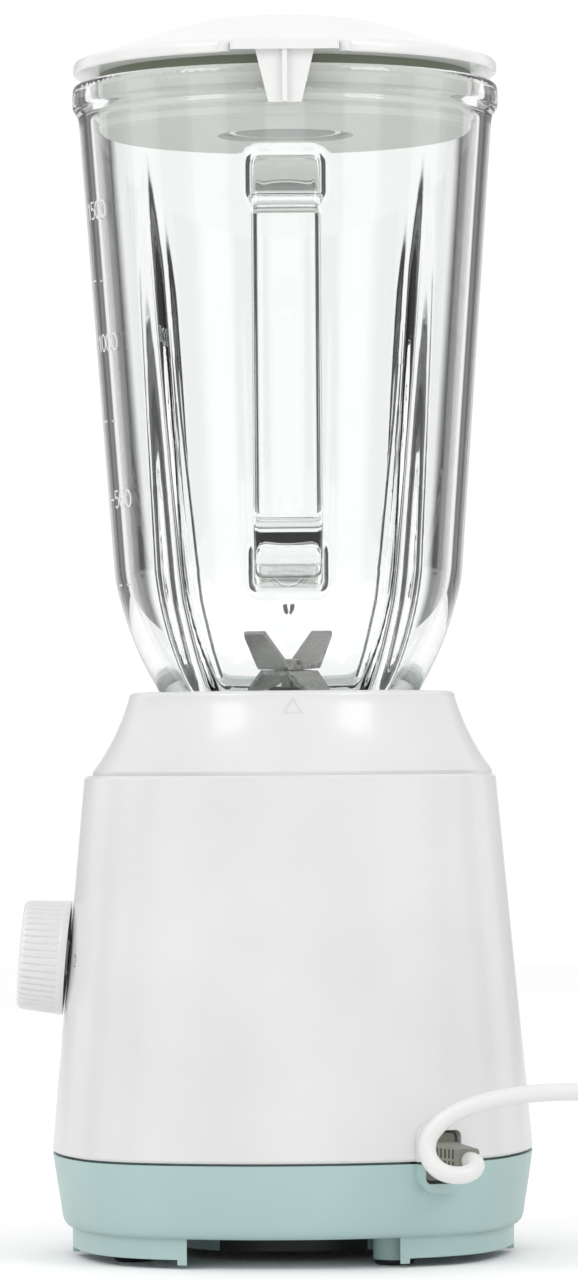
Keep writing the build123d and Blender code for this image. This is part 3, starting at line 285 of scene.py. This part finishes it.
def seal_with_painted_shade():
    """Silicone that is pale inside the glass, with dark olive painted shade in the gap under the lid's
    flange.
    """
    n = Nodes("silicone_with_painted_shade")
    shader = n.add("BsdfPrincipled", Roughness=0.5)
    where, split = n.add("TexCoord"), n.add("SeparateXYZ")
    n.link(where.outputs["Object"], split.inputs[0])
    # Pale silicone below, ramping by height to dark olive painted shade in the gap under the flange.
    height = n.add("MapRange", From_Min=SEAL_PALE_TO, From_Max=SEAL_PAINTED_SHADE_FROM, To_Min=0.0, To_Max=1.0)
    n.link(split.outputs["Z"], height.inputs["Value"])
    tone = n.ramp(height.outputs["Result"], SILICONE, SEAL_PAINTED_SHADE, 0.1, 0.9)
    n.link(tone, shader.inputs["Base Color"])
    n.link(n.bump(n.noise(500.0, 5.0, 0.6), 0.25, 0.00002), shader.inputs["Normal"])
    return n.finish(shader)


slot_of = {row["node"]: row["material_slot"] for row in frame["record"]["subparts"]}


def dress_cad_nodes():
    """Give each CAD node its material, and smooth its round faces by angle without moving a vertex."""
    for name, piece in nodes.items():
        piece.data.materials.clear()
        piece.data.materials.append(materials[slot_of[name]])
        weld = piece.modifiers.new("weld", "WELD")
        weld.merge_threshold = 1e-6
        split = piece.modifiers.new("creases", "EDGE_SPLIT")
        split.split_angle = CAD_CREASE
        custom = piece.data.attributes.get("custom_normal")
        if custom is not None:
            piece.data.attributes.remove(custom)
        piece.data.polygons.foreach_set("use_smooth", [True] * len(piece.data.polygons))


dress_cad_nodes()
# The lid seal gets dark olive painted shade at its top, in the gap under the lid's flange.
nodes["lid_seal"].data.materials[0] = seal_with_painted_shade()


# ---- mesh helpers ----
def link_piece(name, data, slot, body, replaced=()):
    """Put a new piece in the scene on its body, with its record slot's material."""
    piece = bpy.data.objects.new(name, data)
    bpy.context.scene.collection.objects.link(piece)
    if not data.materials:
        data.materials.append(materials[slot])
    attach(piece, body)
    if replaced:
        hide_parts(*replaced)
    return piece


def mesh_from(name, points, faces, crease=35.0):
    """A mesh from points in millimetres around the motor axis, smoothed by angle."""
    placed = np.asarray(points, float) * MM + np.array(AXIS)
    data = bpy.data.meshes.new(name)
    data.from_pydata(placed.tolist(), [], faces)
    work = bmesh.new()
    work.from_mesh(data)
    bmesh.ops.remove_doubles(work, verts=work.verts, dist=1e-7)
    bmesh.ops.recalc_face_normals(work, faces=work.faces)
    work.to_mesh(data)
    work.free()
    data.polygons.foreach_set("use_smooth", [True] * len(data.polygons))
    data.set_sharp_from_angle(angle=math.radians(crease))
    return data


def quads_between(loops, count, closed):
    """Quad faces between successive loops of equal length; closed joins the last to the first."""
    faces = []
    pairs = loops if closed else loops - 1
    for i in range(pairs):
        a, b = i * count, ((i + 1) % loops) * count
        for j in range(count):
            k = (j + 1) % count
            faces.append((a + j, a + k, b + k, b + j))
    return faces


def arc(start, middle, end, steps=8):
    """Points of the circular arc through three points of a plane, without its end."""
    (ax, ay), (bx, by), (cx, cy) = start, middle, end
    d = 2 * (ax * (by - cy) + bx * (cy - ay) + cx * (ay - by))
    sa, sb, sc = ax**2 + ay**2, bx**2 + by**2, cx**2 + cy**2
    ox = (sa * (by - cy) + sb * (cy - ay) + sc * (ay - by)) / d
    oy = (sa * (cx - bx) + sb * (ax - cx) + sc * (bx - ax)) / d
    radius = math.hypot(ax - ox, ay - oy)
    first = math.atan2(ay - oy, ax - ox)
    turns = [(math.atan2(y - oy, x - ox) - first) % (2 * math.pi) for x, y in (middle, end)]
    sweep = turns[1] if turns[0] < turns[1] else turns[1] - 2 * math.pi
    steps_taken = [first + sweep * k / steps for k in range(steps)]
    return [(ox + radius * math.cos(t), oy + radius * math.sin(t)) for t in steps_taken]


# ---- the mains lead ----
def exit_point(along):
    corner, reach = CORNER_CENTRE * BODY_HALF_BOTTOM, CORNER_ARC * BODY_HALF_BOTTOM + along
    return (corner + reach * math.sin(EXIT_TURN), -corner - reach * math.cos(EXIT_TURN), EXIT_Z)


LEAD = [
    exit_point(BOOT_LONG), (57.7, -91.6, 35.4), (57.0, -96.6, 32.9), (52.6, -99.6, 31.3),
    (46.0, -99.3, 32.5), (41.9, -96.8, 37.2), (42.3, -95.6, 43.6), (48.0, -95.6, 49.6),
    (57.6, -96.8, 54.0), (72.0, -98.4, 57.0), (91.0, -99.6, 57.8), (112.0, -99.4, 55.6),
    (134.0, -96.0, 48.0), (154.0, -88.0, 36.0), (170.0, -75.0, 21.0), (179.4, -58.0, 8.0),
    (182.8, -42.0, 2.8), (182.6, -26.0, 2.8),
]
TAIL = [(34.7, 0.0, 7.9), (34.2, 14.0, 8.4), (29.6, 27.2, 8.8), (21.8, 38.8, 9.0)]


def coil_turns():
    """Four put-away turns: two spiral in on the floor, one climbs, and one spirals out on top."""
    per_turn, pitch, outer = 16, 5.8, 37.6
    low = CORD_D / 2
    made = []
    for k in range(1, 4 * per_turn):
        turn, share = divmod(k / per_turn, 1.0)
        floor_turns = [outer - pitch * (lap + share) for lap in (0, 1)]
        if turn < 2:
            radius, high = outer - pitch * (turn + share), low
        else:
            inner = outer - 2 * pitch
            radius = inner + pitch * (0.5 * share if turn == 2 else 0.5 + share)
            gap = min(abs(radius - under) for under in floor_turns)
            high = low + math.sqrt(max(0.0, CORD_D**2 - gap**2))
        angle = 2 * math.pi * share
        made.append((COIL.x + radius * math.cos(angle), COIL.y + radius * math.sin(angle), high))
    return made


def mains_lead():
    """The whole lead as one NURBS tube, from the boot to the plug."""
    tail = [(COIL.x + x, COIL.y + y, z) for x, y, z in TAIL]
    route = LEAD + coil_turns() + tail
    data = bpy.data.curves.new("mains_lead", "CURVE")
    data.dimensions = "3D"
    data.bevel_depth = CORD_D / 2 * MM
    data.bevel_resolution = 8
    data.resolution_u = 10
    data.use_fill_caps = True
    spline = data.splines.new("NURBS")
    spline.points.add(len(route) - 1)
    for point, where in zip(spline.points, route):
        point.co = (*place(*where), 1)
    spline.order_u = 3
    spline.use_endpoint_u = True
    replaced = ("cord_lead", "cord_coil", "cord_tail")
    piece = link_piece("mains_lead", data, "cord_white", "base", replaced)


mains_lead()


# ---- the glass jar ----
def soft_min(a, b, k):
    """The lesser of two distances, with a fillet about k wide where they meet."""
    h = np.clip(0.5 + 0.5 * (b - a) / k, 0, 1)
    return b + (a - b) * h - k * h * (1 - h)


def soft_max(a, b, k):
    return -soft_min(-a, -b, k)


def profile(points):
    """Heights and radii of a profile, ready for interpolation."""
    table = np.array(sorted(points, key=lambda p: p[1]))
    return table[:, 1], table[:, 0]


# Outside and inside, from the foot up: the neck, the round bowl, the straight wall and the rim's flare.
OUTSIDE = profile(
    [(37.5, 160.0), (37.5, 178.0), (38.6, 180.2)]
    + arc((41.0, 181.5), (50.25, 198.8), (57.35, 223.0), 24)
    + [(57.35, 223.0)]
    + arc((68.2, 372.0), (68.9, 374.6), (70.3, 376.6), 8)
    + [(70.3, 376.6), (70.45, 379.0), (70.3, 382.0), (70.2, 390.0)]
)
INSIDE = profile(
    [(32.5, 150.0), (32.5, 180.0)]
    + arc((35.2, 184.0), (45.4, 200.3), (52.45, 224.0), 24)
    + [(52.45, 224.0), (64.2, 383.0), (64.7, 390.0)]
)
# The inner ribs: how far out their crests stand, which passes the wall at the top, and half their width.
RIB_EDGE = profile(
    [(90.0, 374), (63.8, 358), (61.2, 338), (58.8, 322), (53.0, 278), (48.2, 246), (43.6, 215),
     (38.0, 196), (33.6, 184), (33.0, 170)]
)
RIB_HALF = profile([(4.2, 170), (4.0, 215), (3.0, 320), (0.8, 356)])
# The handle's centreline in the plane x = 0, as (y, z), before its two corners are rounded.
HANDLE_ROUTE = [(-50.0, 349.7), (-103.0, 344.2), (-103.0, 231.6), (-46.0, 221.6)]


def bar_distance(y, z):
    """Distance in the handle's plane from its centreline: three straights and two bends."""
    best = np.full(y.shape, 1e3)
    points = [Vector(p) for p in HANDLE_ROUTE]
    starts, ends = [points[0]], []
    for before, here, after in zip(points, points[1:], points[2:]):
        one, two = (before - here).normalized(), (after - here).normalized()
        half = one.angle(two) / 2
        cut = HANDLE_BEND / math.tan(half)
        centre = here + (one + two).normalized() * HANDLE_BEND / math.sin(half)
        ends.append(here + one * cut)
        starts.append(here + two * cut)
        outward = (here - centre).normalized()
        dy, dz = y - centre.x, z - centre.y
        far = np.hypot(dy, dz)
        within = dy * outward.x + dz * outward.y > far * math.cos(math.pi / 2 - half)
        best = np.where(within, np.minimum(best, np.abs(far - HANDLE_BEND)), best)
    ends.append(points[-1])
    for a, b in zip(starts, ends):
        along = b - a
        t = np.clip(((y - a.x) * along.x + (z - a.y) * along.y) / along.length_squared, 0, 1)
        best = np.minimum(best, np.hypot(y - a.x - t * along.x, z - a.y - t * along.y))
    return best


def handle_distance(x, y, z):
    """A rounded-rectangle bar along the handle's centreline."""
    across = np.abs(x) - (HANDLE_HALF_WIDE - HANDLE_CORNER)
    off = bar_distance(y, z) - (HANDLE_HALF_DEEP - HANDLE_CORNER)
    outside = np.hypot(np.maximum(across, 0), np.maximum(off, 0))
    return outside + np.minimum(np.maximum(across, off), 0) - HANDLE_CORNER


def spout_distance(x, y, z, inset):
    """A leaning cone that makes the pouring lip on the +Y side, or its channel."""
    high = np.clip((z - 350.0) / 34.5, -0.3, 1.2)
    middle = 57.5 + 4.0 * high
    radius = 3.0 + 12.2 * high - inset
    return (np.hypot(x * 0.92, y - middle) - radius) * 0.93


def jar_distance(p):
    """Below zero inside the glass: wall, lip, handle and the four inner ribs."""
    x, y, z = p[:, 0], p[:, 1], p[:, 2]
    r = np.hypot(x, y)
    outer = r - np.interp(z, *OUTSIDE)
    outer = soft_min(outer, spout_distance(x, y, z, 0.0), 5.0)
    solid = soft_min(outer, handle_distance(x, y, z), 4.0)
    hollow = soft_min(r - np.interp(z, *INSIDE), spout_distance(x, y, z, 4.4), 5.0)
    for quarter in range(4):
        turn = math.radians(45 + 90 * quarter)
        out = x * math.cos(turn) + y * math.sin(turn)
        side = np.abs(y * math.cos(turn) - x * math.sin(turn))
        rib = soft_max(np.interp(z, *RIB_EDGE) - out, side - np.interp(z, *RIB_HALF), 4.0)
        rib = np.where(out > 0, rib, 50.0)
        hollow = soft_max(hollow, -rib, 3.0)
    glass = soft_max(solid, -hollow, 1.6)
    glass = soft_max(glass, z - JAR_RIM_Z, 2.2)
    return soft_max(glass, JAR_FOOT_Z - z, 1.0)


def slope_of(field, p, step=0.25):
    """The field's value and gradient at each point."""
    value = field(p)
    grad = np.empty_like(p)
    for axis in range(3):
        before, after = p.copy(), p.copy()
        before[:, axis] -= step
        after[:, axis] += step
        grad[:, axis] = (field(after) - field(before)) / (2 * step)
    return value, grad


def skin_of(name, field, low, high, pitch, rounds=3):
    """A fine mesh of the surface where the field is zero, with the field's own normals."""
    counts = [int((b - a) / pitch) + 2 for a, b in zip(low, high)]
    axes = [a + np.arange(n) * pitch for a, n in zip(low, counts)]
    grid = np.stack(np.meshgrid(*axes, indexing="ij"), -1).reshape(-1, 3)
    values = np.concatenate([field(part) for part in np.array_split(grid, 24)]).reshape(counts)
    points, faces = surface_nets(values, low, pitch)
    for _ in range(rounds):
        value, grad = slope_of(field, points)
        size = np.maximum((grad**2).sum(1), 0.05)
        step = np.clip(value / size, -0.6 * pitch, 0.6 * pitch)
        points = points - grad * step[:, None]
    normals = slope_of(field, points, 0.8)[1]
    normals /= np.linalg.norm(normals, axis=1)[:, None]
    data = bpy.data.meshes.new(name)
    placed = points * MM + np.array(AXIS)
    data.from_pydata(placed.tolist(), [], faces.tolist())
    data.polygons.foreach_set("use_smooth", [True] * len(data.polygons))
    data.normals_split_custom_set_from_vertices(normals.tolist())
    return data


def surface_nets(values, low, pitch):
    """Points and quads of the zero surface of a grid: one point in each cell that it crosses."""
    inside = values < 0
    nx, ny, nz = (n - 1 for n in values.shape)
    total = np.zeros((nx, ny, nz, 3))
    crossings = np.zeros((nx, ny, nz))
    corners = [(i, j, k) for i in (0, 1) for j in (0, 1) for k in (0, 1)]
    for a in corners:
        for axis in range(3):
            if a[axis]:
                continue
            b = tuple(c + (1 if n == axis else 0) for n, c in enumerate(a))
            va = values[a[0]:a[0] + nx, a[1]:a[1] + ny, a[2]:a[2] + nz]
            vb = values[b[0]:b[0] + nx, b[1]:b[1] + ny, b[2]:b[2] + nz]
            hit = (va < 0) != (vb < 0)
            share = np.where(hit, va / np.where(hit, va - vb, 1), 0)
            for n in range(3):
                total[..., n] += np.where(hit, a[n] + (share if n == axis else 0), 0)
            crossings += hit
    active = crossings > 0
    index = np.full(active.shape, -1)
    index[active] = np.arange(active.sum())
    cells = np.argwhere(active)
    points = (cells + total[active] / crossings[active][:, None]) * pitch + np.array(low)
    faces = []
    for axis in range(3):
        u, v = [(1, 2), (2, 0), (0, 1)][axis]
        first = inside[tuple(slice(0, -1) if n == axis else slice(1, -1) for n in range(3))]
        second = inside[tuple(slice(1, None) if n == axis else slice(1, -1) for n in range(3))]
        at = np.argwhere(first != second)
        leaving = first[tuple(at.T)]
        base = at + np.array([0 if n == axis else 1 for n in range(3)])
        quad = []
        for du, dv in ((-1, -1), (0, -1), (0, 0), (-1, 0)):
            cell = base.copy()
            cell[:, u] += du
            cell[:, v] += dv
            quad.append(index[tuple(cell.T)])
        quad = np.stack(quad, 1)
        quad[~leaving] = quad[~leaving][:, ::-1]
        faces.append(quad)
    return points, np.concatenate(faces)


JAR_PITCH, JAR_PITCH_QUICK = 1.48, 2.2
JAR_BOX_LOW = (-80.0, -116.0, 162.0)
JAR_BOX_HIGH = (80.0, 82.0, 390.0)


def jar():
    pitch = JAR_PITCH
    data = skin_of("jar_glass_fine", jar_distance, JAR_BOX_LOW, JAR_BOX_HIGH, pitch)
    link_piece("jar_glass_fine", data, "glass", "jar", ("jar_glass",))


jar()


# ---- the knob ----
SIDE_LEAN = math.atan2(BODY_HALF_BOTTOM - BODY_HALF_TOP, SHOULDER_Z - SEAM_Z)
KNOB_X = -(BODY_HALF_BOTTOM - (KNOB_Z - SEAM_Z) * math.tan(SIDE_LEAN))


def knob_point(across, up, out):
    """A point in millimetres from one on the knob's own axes, which lean with the housing's side."""
    lean_cos, lean_sin = math.cos(SIDE_LEAN), math.sin(SIDE_LEAN)
    return (KNOB_X - out * lean_cos + up * lean_sin, -across, KNOB_Z + out * lean_sin + up * lean_cos)


def knob_section():
    """The knob's closed section as (radius, height, rib depth)."""
    top = KNOB_LONG
    return [
        (3.0, 3.0, 0), (5.6, 3.0, 0), (5.6, top - 2.4, 0), (15.6, top - 2.4, 0), (16.4, 0, 0),
        (18.9, 0, 0), (18.85, 2.0, 0), (18.7, 2.4, 0), (18.65, 2.9, 0.5), (18.0, top - 2.6, 0.55),
        (17.85, top - 1.6, 0.5), (17.6, top - 0.8, 0.3), (17.2, top - 0.35, 0), (16.4, top, 0),
        (15.4, top, 0), (14.8, top - KNOB_DISH, 0), (0.02, top - KNOB_DISH, 0), (0.02, top - 3.2, 0),
        (3.0, top - 3.2, 0),
    ]


def ribbed_knob():
    """The knob with a groove between each two of its grip ribs."""
    per_rib = 8
    count = KNOB_RIBS * per_rib
    points = []
    for radius, high, depth in knob_section():
        for k in range(count):
            angle = 2 * math.pi * k / count
            dip = depth * (1 - abs(math.sin(math.pi * k / per_rib))) ** 2
            r = radius - dip
            points.append(knob_point(r * math.cos(angle), r * math.sin(angle), KNOB_GAP + high))
    faces = quads_between(len(knob_section()), count, True)
    link_piece("ribbed_knob", mesh_from("ribbed_knob", points, faces, 50.0),
               slot_of["control_knob"], "knob", ("control_knob",))


def knob_pointer():
    """The grey line across the dished face that points at the dial."""
    def on_face(across, up, high):
        return knob_point(across, up, KNOB_GAP + KNOB_LONG - KNOB_DISH + high)

    ink = moulded("pointer_ink", INK_GREY, 0.5, speckle=0.1)
    line = [(0.0, -6.0), (0.0, -14.2)]
    marking("knob_pointer", [line], on_face, slot_of["control_knob"], "knob", ink, 1.3)


# ---- printed and moulded marks ----
def oval(steps=20):
    """A closed upright oval in the unit box."""
    angles = [2 * math.pi * k / steps for k in range(steps + 1)]
    return [(0.42 + 0.36 * math.cos(a), 0.5 + 0.5 * math.sin(a)) for a in angles]


GLYPHS = {
    "0": oval(),
    "1": [(0.22, 0.78), (0.55, 1.0), (0.55, 0.0)],
    "2": [(0.08, 0.76), (0.2, 0.94), (0.44, 1.0), (0.7, 0.9), (0.78, 0.68), (0.62, 0.42), (0.08, 0.0),
          (0.84, 0.0)],
    "5": [(0.78, 1.0), (0.2, 1.0), (0.14, 0.54), (0.42, 0.64), (0.7, 0.54), (0.82, 0.32), (0.7, 0.1),
          (0.42, 0.0), (0.1, 0.08)],
    "-": [(0.1, 0.5), (0.8, 0.5)],
    ".": [(0.22, 0.5), (0.62, 0.5)],
    "^": [(0.0, 0.0), (1.22, 0.0), (0.61, 1.0), (0.0, 0.0)],
}


def written(text, start, base, height, pitch):
    """Strokes for a line of text, as (across, up) in millimetres."""
    return [[(start + pitch * place_in_line + u * height, base + v * height) for u, v in GLYPHS[glyph]]
            for place_in_line, glyph in enumerate(text) if glyph != " "]


def marking(name, strokes, wrap, slot, body, look, width=0.7, thick=0.12):
    """Thin raised strokes laid on a surface by wrap(across, up, height over it)."""
    points, faces = [], []
    for stroke in strokes:
        path = [Vector(p) for p in stroke]
        first = len(points)
        for k, here in enumerate(path):
            along = (path[min(k + 1, len(path) - 1)] - path[max(k - 1, 0)]).normalized()
            side = Vector((-along.y, along.x)) * width / 2
            for shift, high in ((1, -thick), (-1, -thick), (-1, thick), (1, thick)):
                spot = here + side * shift
                points.append(wrap(spot.x, spot.y, high))
        last = len(points) - 4
        faces += [tuple(first + i for i in face) for face in quads_between(len(path), 4, False)]
        faces += [(first + 3, first + 2, first + 1, first), (last, last + 1, last + 2, last + 3)]
    data = mesh_from(name, points, faces)
    data.materials.append(look)
    link_piece(name, data, slot, body)


def on_jar(across, up, high):
    """Round the jar's outside, from the user's side towards the handle."""
    radius = float(np.interp(up, *OUTSIDE)) + high
    turn = across / radius
    return (-radius * math.cos(turn), -radius * math.sin(turn), up)


def drape(tree, towards, high, spot):
    """The point where a line in this direction meets a surface, raised over it."""
    start = place(*spot) - Vector(towards) * 0.2
    hit = tree.ray_cast(start, Vector(towards))[0]
    lifted = (hit - AXIS) / MM - Vector(towards) * high
    return tuple(lifted)


def volume_marks():
    """The scale in millilitres, with a dash half way between the numbers."""
    enamel = moulded("white_enamel", ENAMEL_WHITE, 0.5, speckle=0.05)
    strokes = []
    for text, high in (("1500", 341.9), ("1000", 298.6), (" 500", 247.4)):
        strokes += written(text, 12.2, high - 2.7, 5.4, 4.9)
    for high in (319.3, 273.2, 247.4, 219.4):
        strokes += written("-", 11.5, high - 2.7, 5.4, 4.9)
    marking("volume_marks", strokes, on_jar, "lid_white", "jar", enamel, 0.55)


def dial_marks():
    """Off, the two speeds and a pulse dot in the knob's turning order, and the mark on the collar."""
    housing = nodes["housing"]
    spots = [housing.matrix_world @ v.co for v in housing.data.vertices]
    tree = BVHTree.FromPolygons(spots, [tuple(p.vertices) for p in housing.data.polygons])
    ink = moulded("grey_ink", INK_GREY, 0.5, speckle=0.1)
    strokes = []
    for text, turn in ((".", 225), ("0", 180), ("1", 135), ("2", 90)):
        across = DIAL_REACH * math.sin(math.radians(turn))
        up = DIAL_REACH * math.cos(math.radians(turn))
        strokes += written(text, across - 1.6, KNOB_Z + up - 1.9, 3.8, 4.0)

    def on_side(across, up, high):
        return drape(tree, (1, 0, 0), high, (-80.0, -across, up))

    def on_collar(across, up, high):
        return drape(tree, (0, 1, 0), high, (across, -80.0, up))

    marking("dial_marks", strokes, on_side, "white_plastic", "base", ink, 0.6, 0.05)
    # The raised lock mark is the housing's own white darkened by 7%: painted shade on the mark's relief.
    raised_mark_painted_shade = moulded("embossed_white_painted_shade", shade(WHITE, 0.93), 0.4)
    triangle = written("^", -1.9, 177.1, 4.7, 5.0)
    marking("lock_mark", triangle, on_collar, "white_plastic", "base", raised_mark_painted_shade, 0.5, 0.15)


ribbed_knob()
knob_pointer()
volume_marks()
dial_marks()


# ---- studio ----
FLOOR_RADIUS = 2.6
FLOOR_DARK = (0.94, 0.94, 0.94)
FLOOR_LIGHT = (0.955, 0.955, 0.955)
BAND_EDGES = (math.radians(9.5), math.radians(12.5))
BAND_TOP = (0.26, 0.42)
BAND_IN_GLOSS = 0.5
WORLD_LIGHT = 1.02
WORLD_DARK = 0.985
BOX_ACROSS, BOX_FRONT, BOX_HIGH = 1.0, -0.9, 1.15
BOX_SIZE, BOX_POWER = 0.6, 5.0
BOX_AIM = Vector((0, 0, 0.2))


def studio_floor():
    """A round pale floor with very slight mottling."""
    data = bpy.data.meshes.new("studio_floor")
    count = 96
    angles = [2 * math.pi * k / count for k in range(count)]
    ring = [(FLOOR_RADIUS * math.cos(a), FLOOR_RADIUS * math.sin(a), 0) for a in angles]
    data.from_pydata(ring, [], [tuple(range(count))])
    n = Nodes("pale_floor")
    shader = n.add("BsdfPrincipled", Roughness=0.6, Specular_IOR_Level=0.2)
    n.link(n.ramp(n.noise(3.0), FLOOR_DARK, FLOOR_LIGHT), shader.inputs["Base Color"])
    data.materials.append(n.finish(shader))
    floor = bpy.data.objects.new("studio_floor", data)
    bpy.context.scene.collection.objects.link(floor)


def studio_world():
    """White all round, with eight soft dark bands that edge the glass.

    The camera and diffuse rays see only white. Refracted rays see the bands in full, and
    reflected ones see them at half strength.
    """
    world = bpy.data.worlds.new("studio")
    bpy.context.scene.world = world
    world.use_nodes = True
    tree = world.node_tree
    tree.nodes.clear()

    def math_node(kind, a, b=None):
        node = tree.nodes.new("ShaderNodeMath")
        node.operation = kind
        for socket, value in zip(node.inputs, (a, b)):
            if isinstance(value, (int, float)):
                socket.default_value = value
            elif value is not None:
                tree.links.new(value, socket)
        return node.outputs[0]

    def smooth(value, low, high):
        node = tree.nodes.new("ShaderNodeMapRange")
        node.interpolation_type = "SMOOTHSTEP"
        tree.links.new(value, node.inputs["Value"])
        node.inputs["From Min"].default_value = low
        node.inputs["From Max"].default_value = high
        return node.outputs["Result"]

    where = tree.nodes.new("ShaderNodeTexCoord")
    split = tree.nodes.new("ShaderNodeSeparateXYZ")
    tree.links.new(where.outputs["Generated"], split.inputs[0])
    azimuth = math_node("ARCTAN2", split.outputs["Y"], split.outputs["X"])
    eighth = math.pi / 4
    turned_by = math_node("MODULO", math_node("ADD", azimuth, 8.5 * eighth), eighth)
    off = math_node("ABSOLUTE", math_node("SUBTRACT", turned_by, eighth / 2))
    band = smooth(off, *BAND_EDGES)
    level = math_node("SUBTRACT", 1.0, smooth(math_node("ABSOLUTE", split.outputs["Z"]), *BAND_TOP))
    path = tree.nodes.new("ShaderNodeLightPath")
    gloss = math_node("MULTIPLY", path.outputs["Is Glossy Ray"], BAND_IN_GLOSS)
    bent = math_node("MAXIMUM", path.outputs["Is Transmission Ray"], gloss)
    straight = math_node("SUBTRACT", 1.0, path.outputs["Is Camera Ray"])
    where_dark = math_node("MULTIPLY", band, level)
    dark = math_node("MULTIPLY", where_dark, math_node("MULTIPLY", bent, straight))
    strength = math_node("SUBTRACT", WORLD_LIGHT, math_node("MULTIPLY", dark, WORLD_DARK))
    background = tree.nodes.new("ShaderNodeBackground")
    background.inputs["Color"].default_value = (1, 1, 1, 1)
    tree.links.new(strength, background.inputs["Strength"])
    output = tree.nodes.new("ShaderNodeOutputWorld")
    tree.links.new(background.outputs[0], output.inputs["Surface"])


def soft_box(name, across):
    """A square area light in front of the object, aimed at its middle."""
    data = bpy.data.lights.new(name, "AREA")
    data.shape = "SQUARE"
    data.size = BOX_SIZE
    data.energy = BOX_POWER
    lamp = bpy.data.objects.new(name, data)
    bpy.context.scene.collection.objects.link(lamp)
    lamp.location = AXIS + Vector((across, BOX_FRONT, BOX_HIGH))
    lamp.rotation_euler = (AXIS + BOX_AIM - lamp.location).to_track_quat("-Z", "Y").to_euler()


studio_floor()
studio_world()
soft_box("left_box", -BOX_ACROSS)
soft_box("right_box", BOX_ACROSS)
bpy.context.scene.view_settings.view_transform = "Standard"
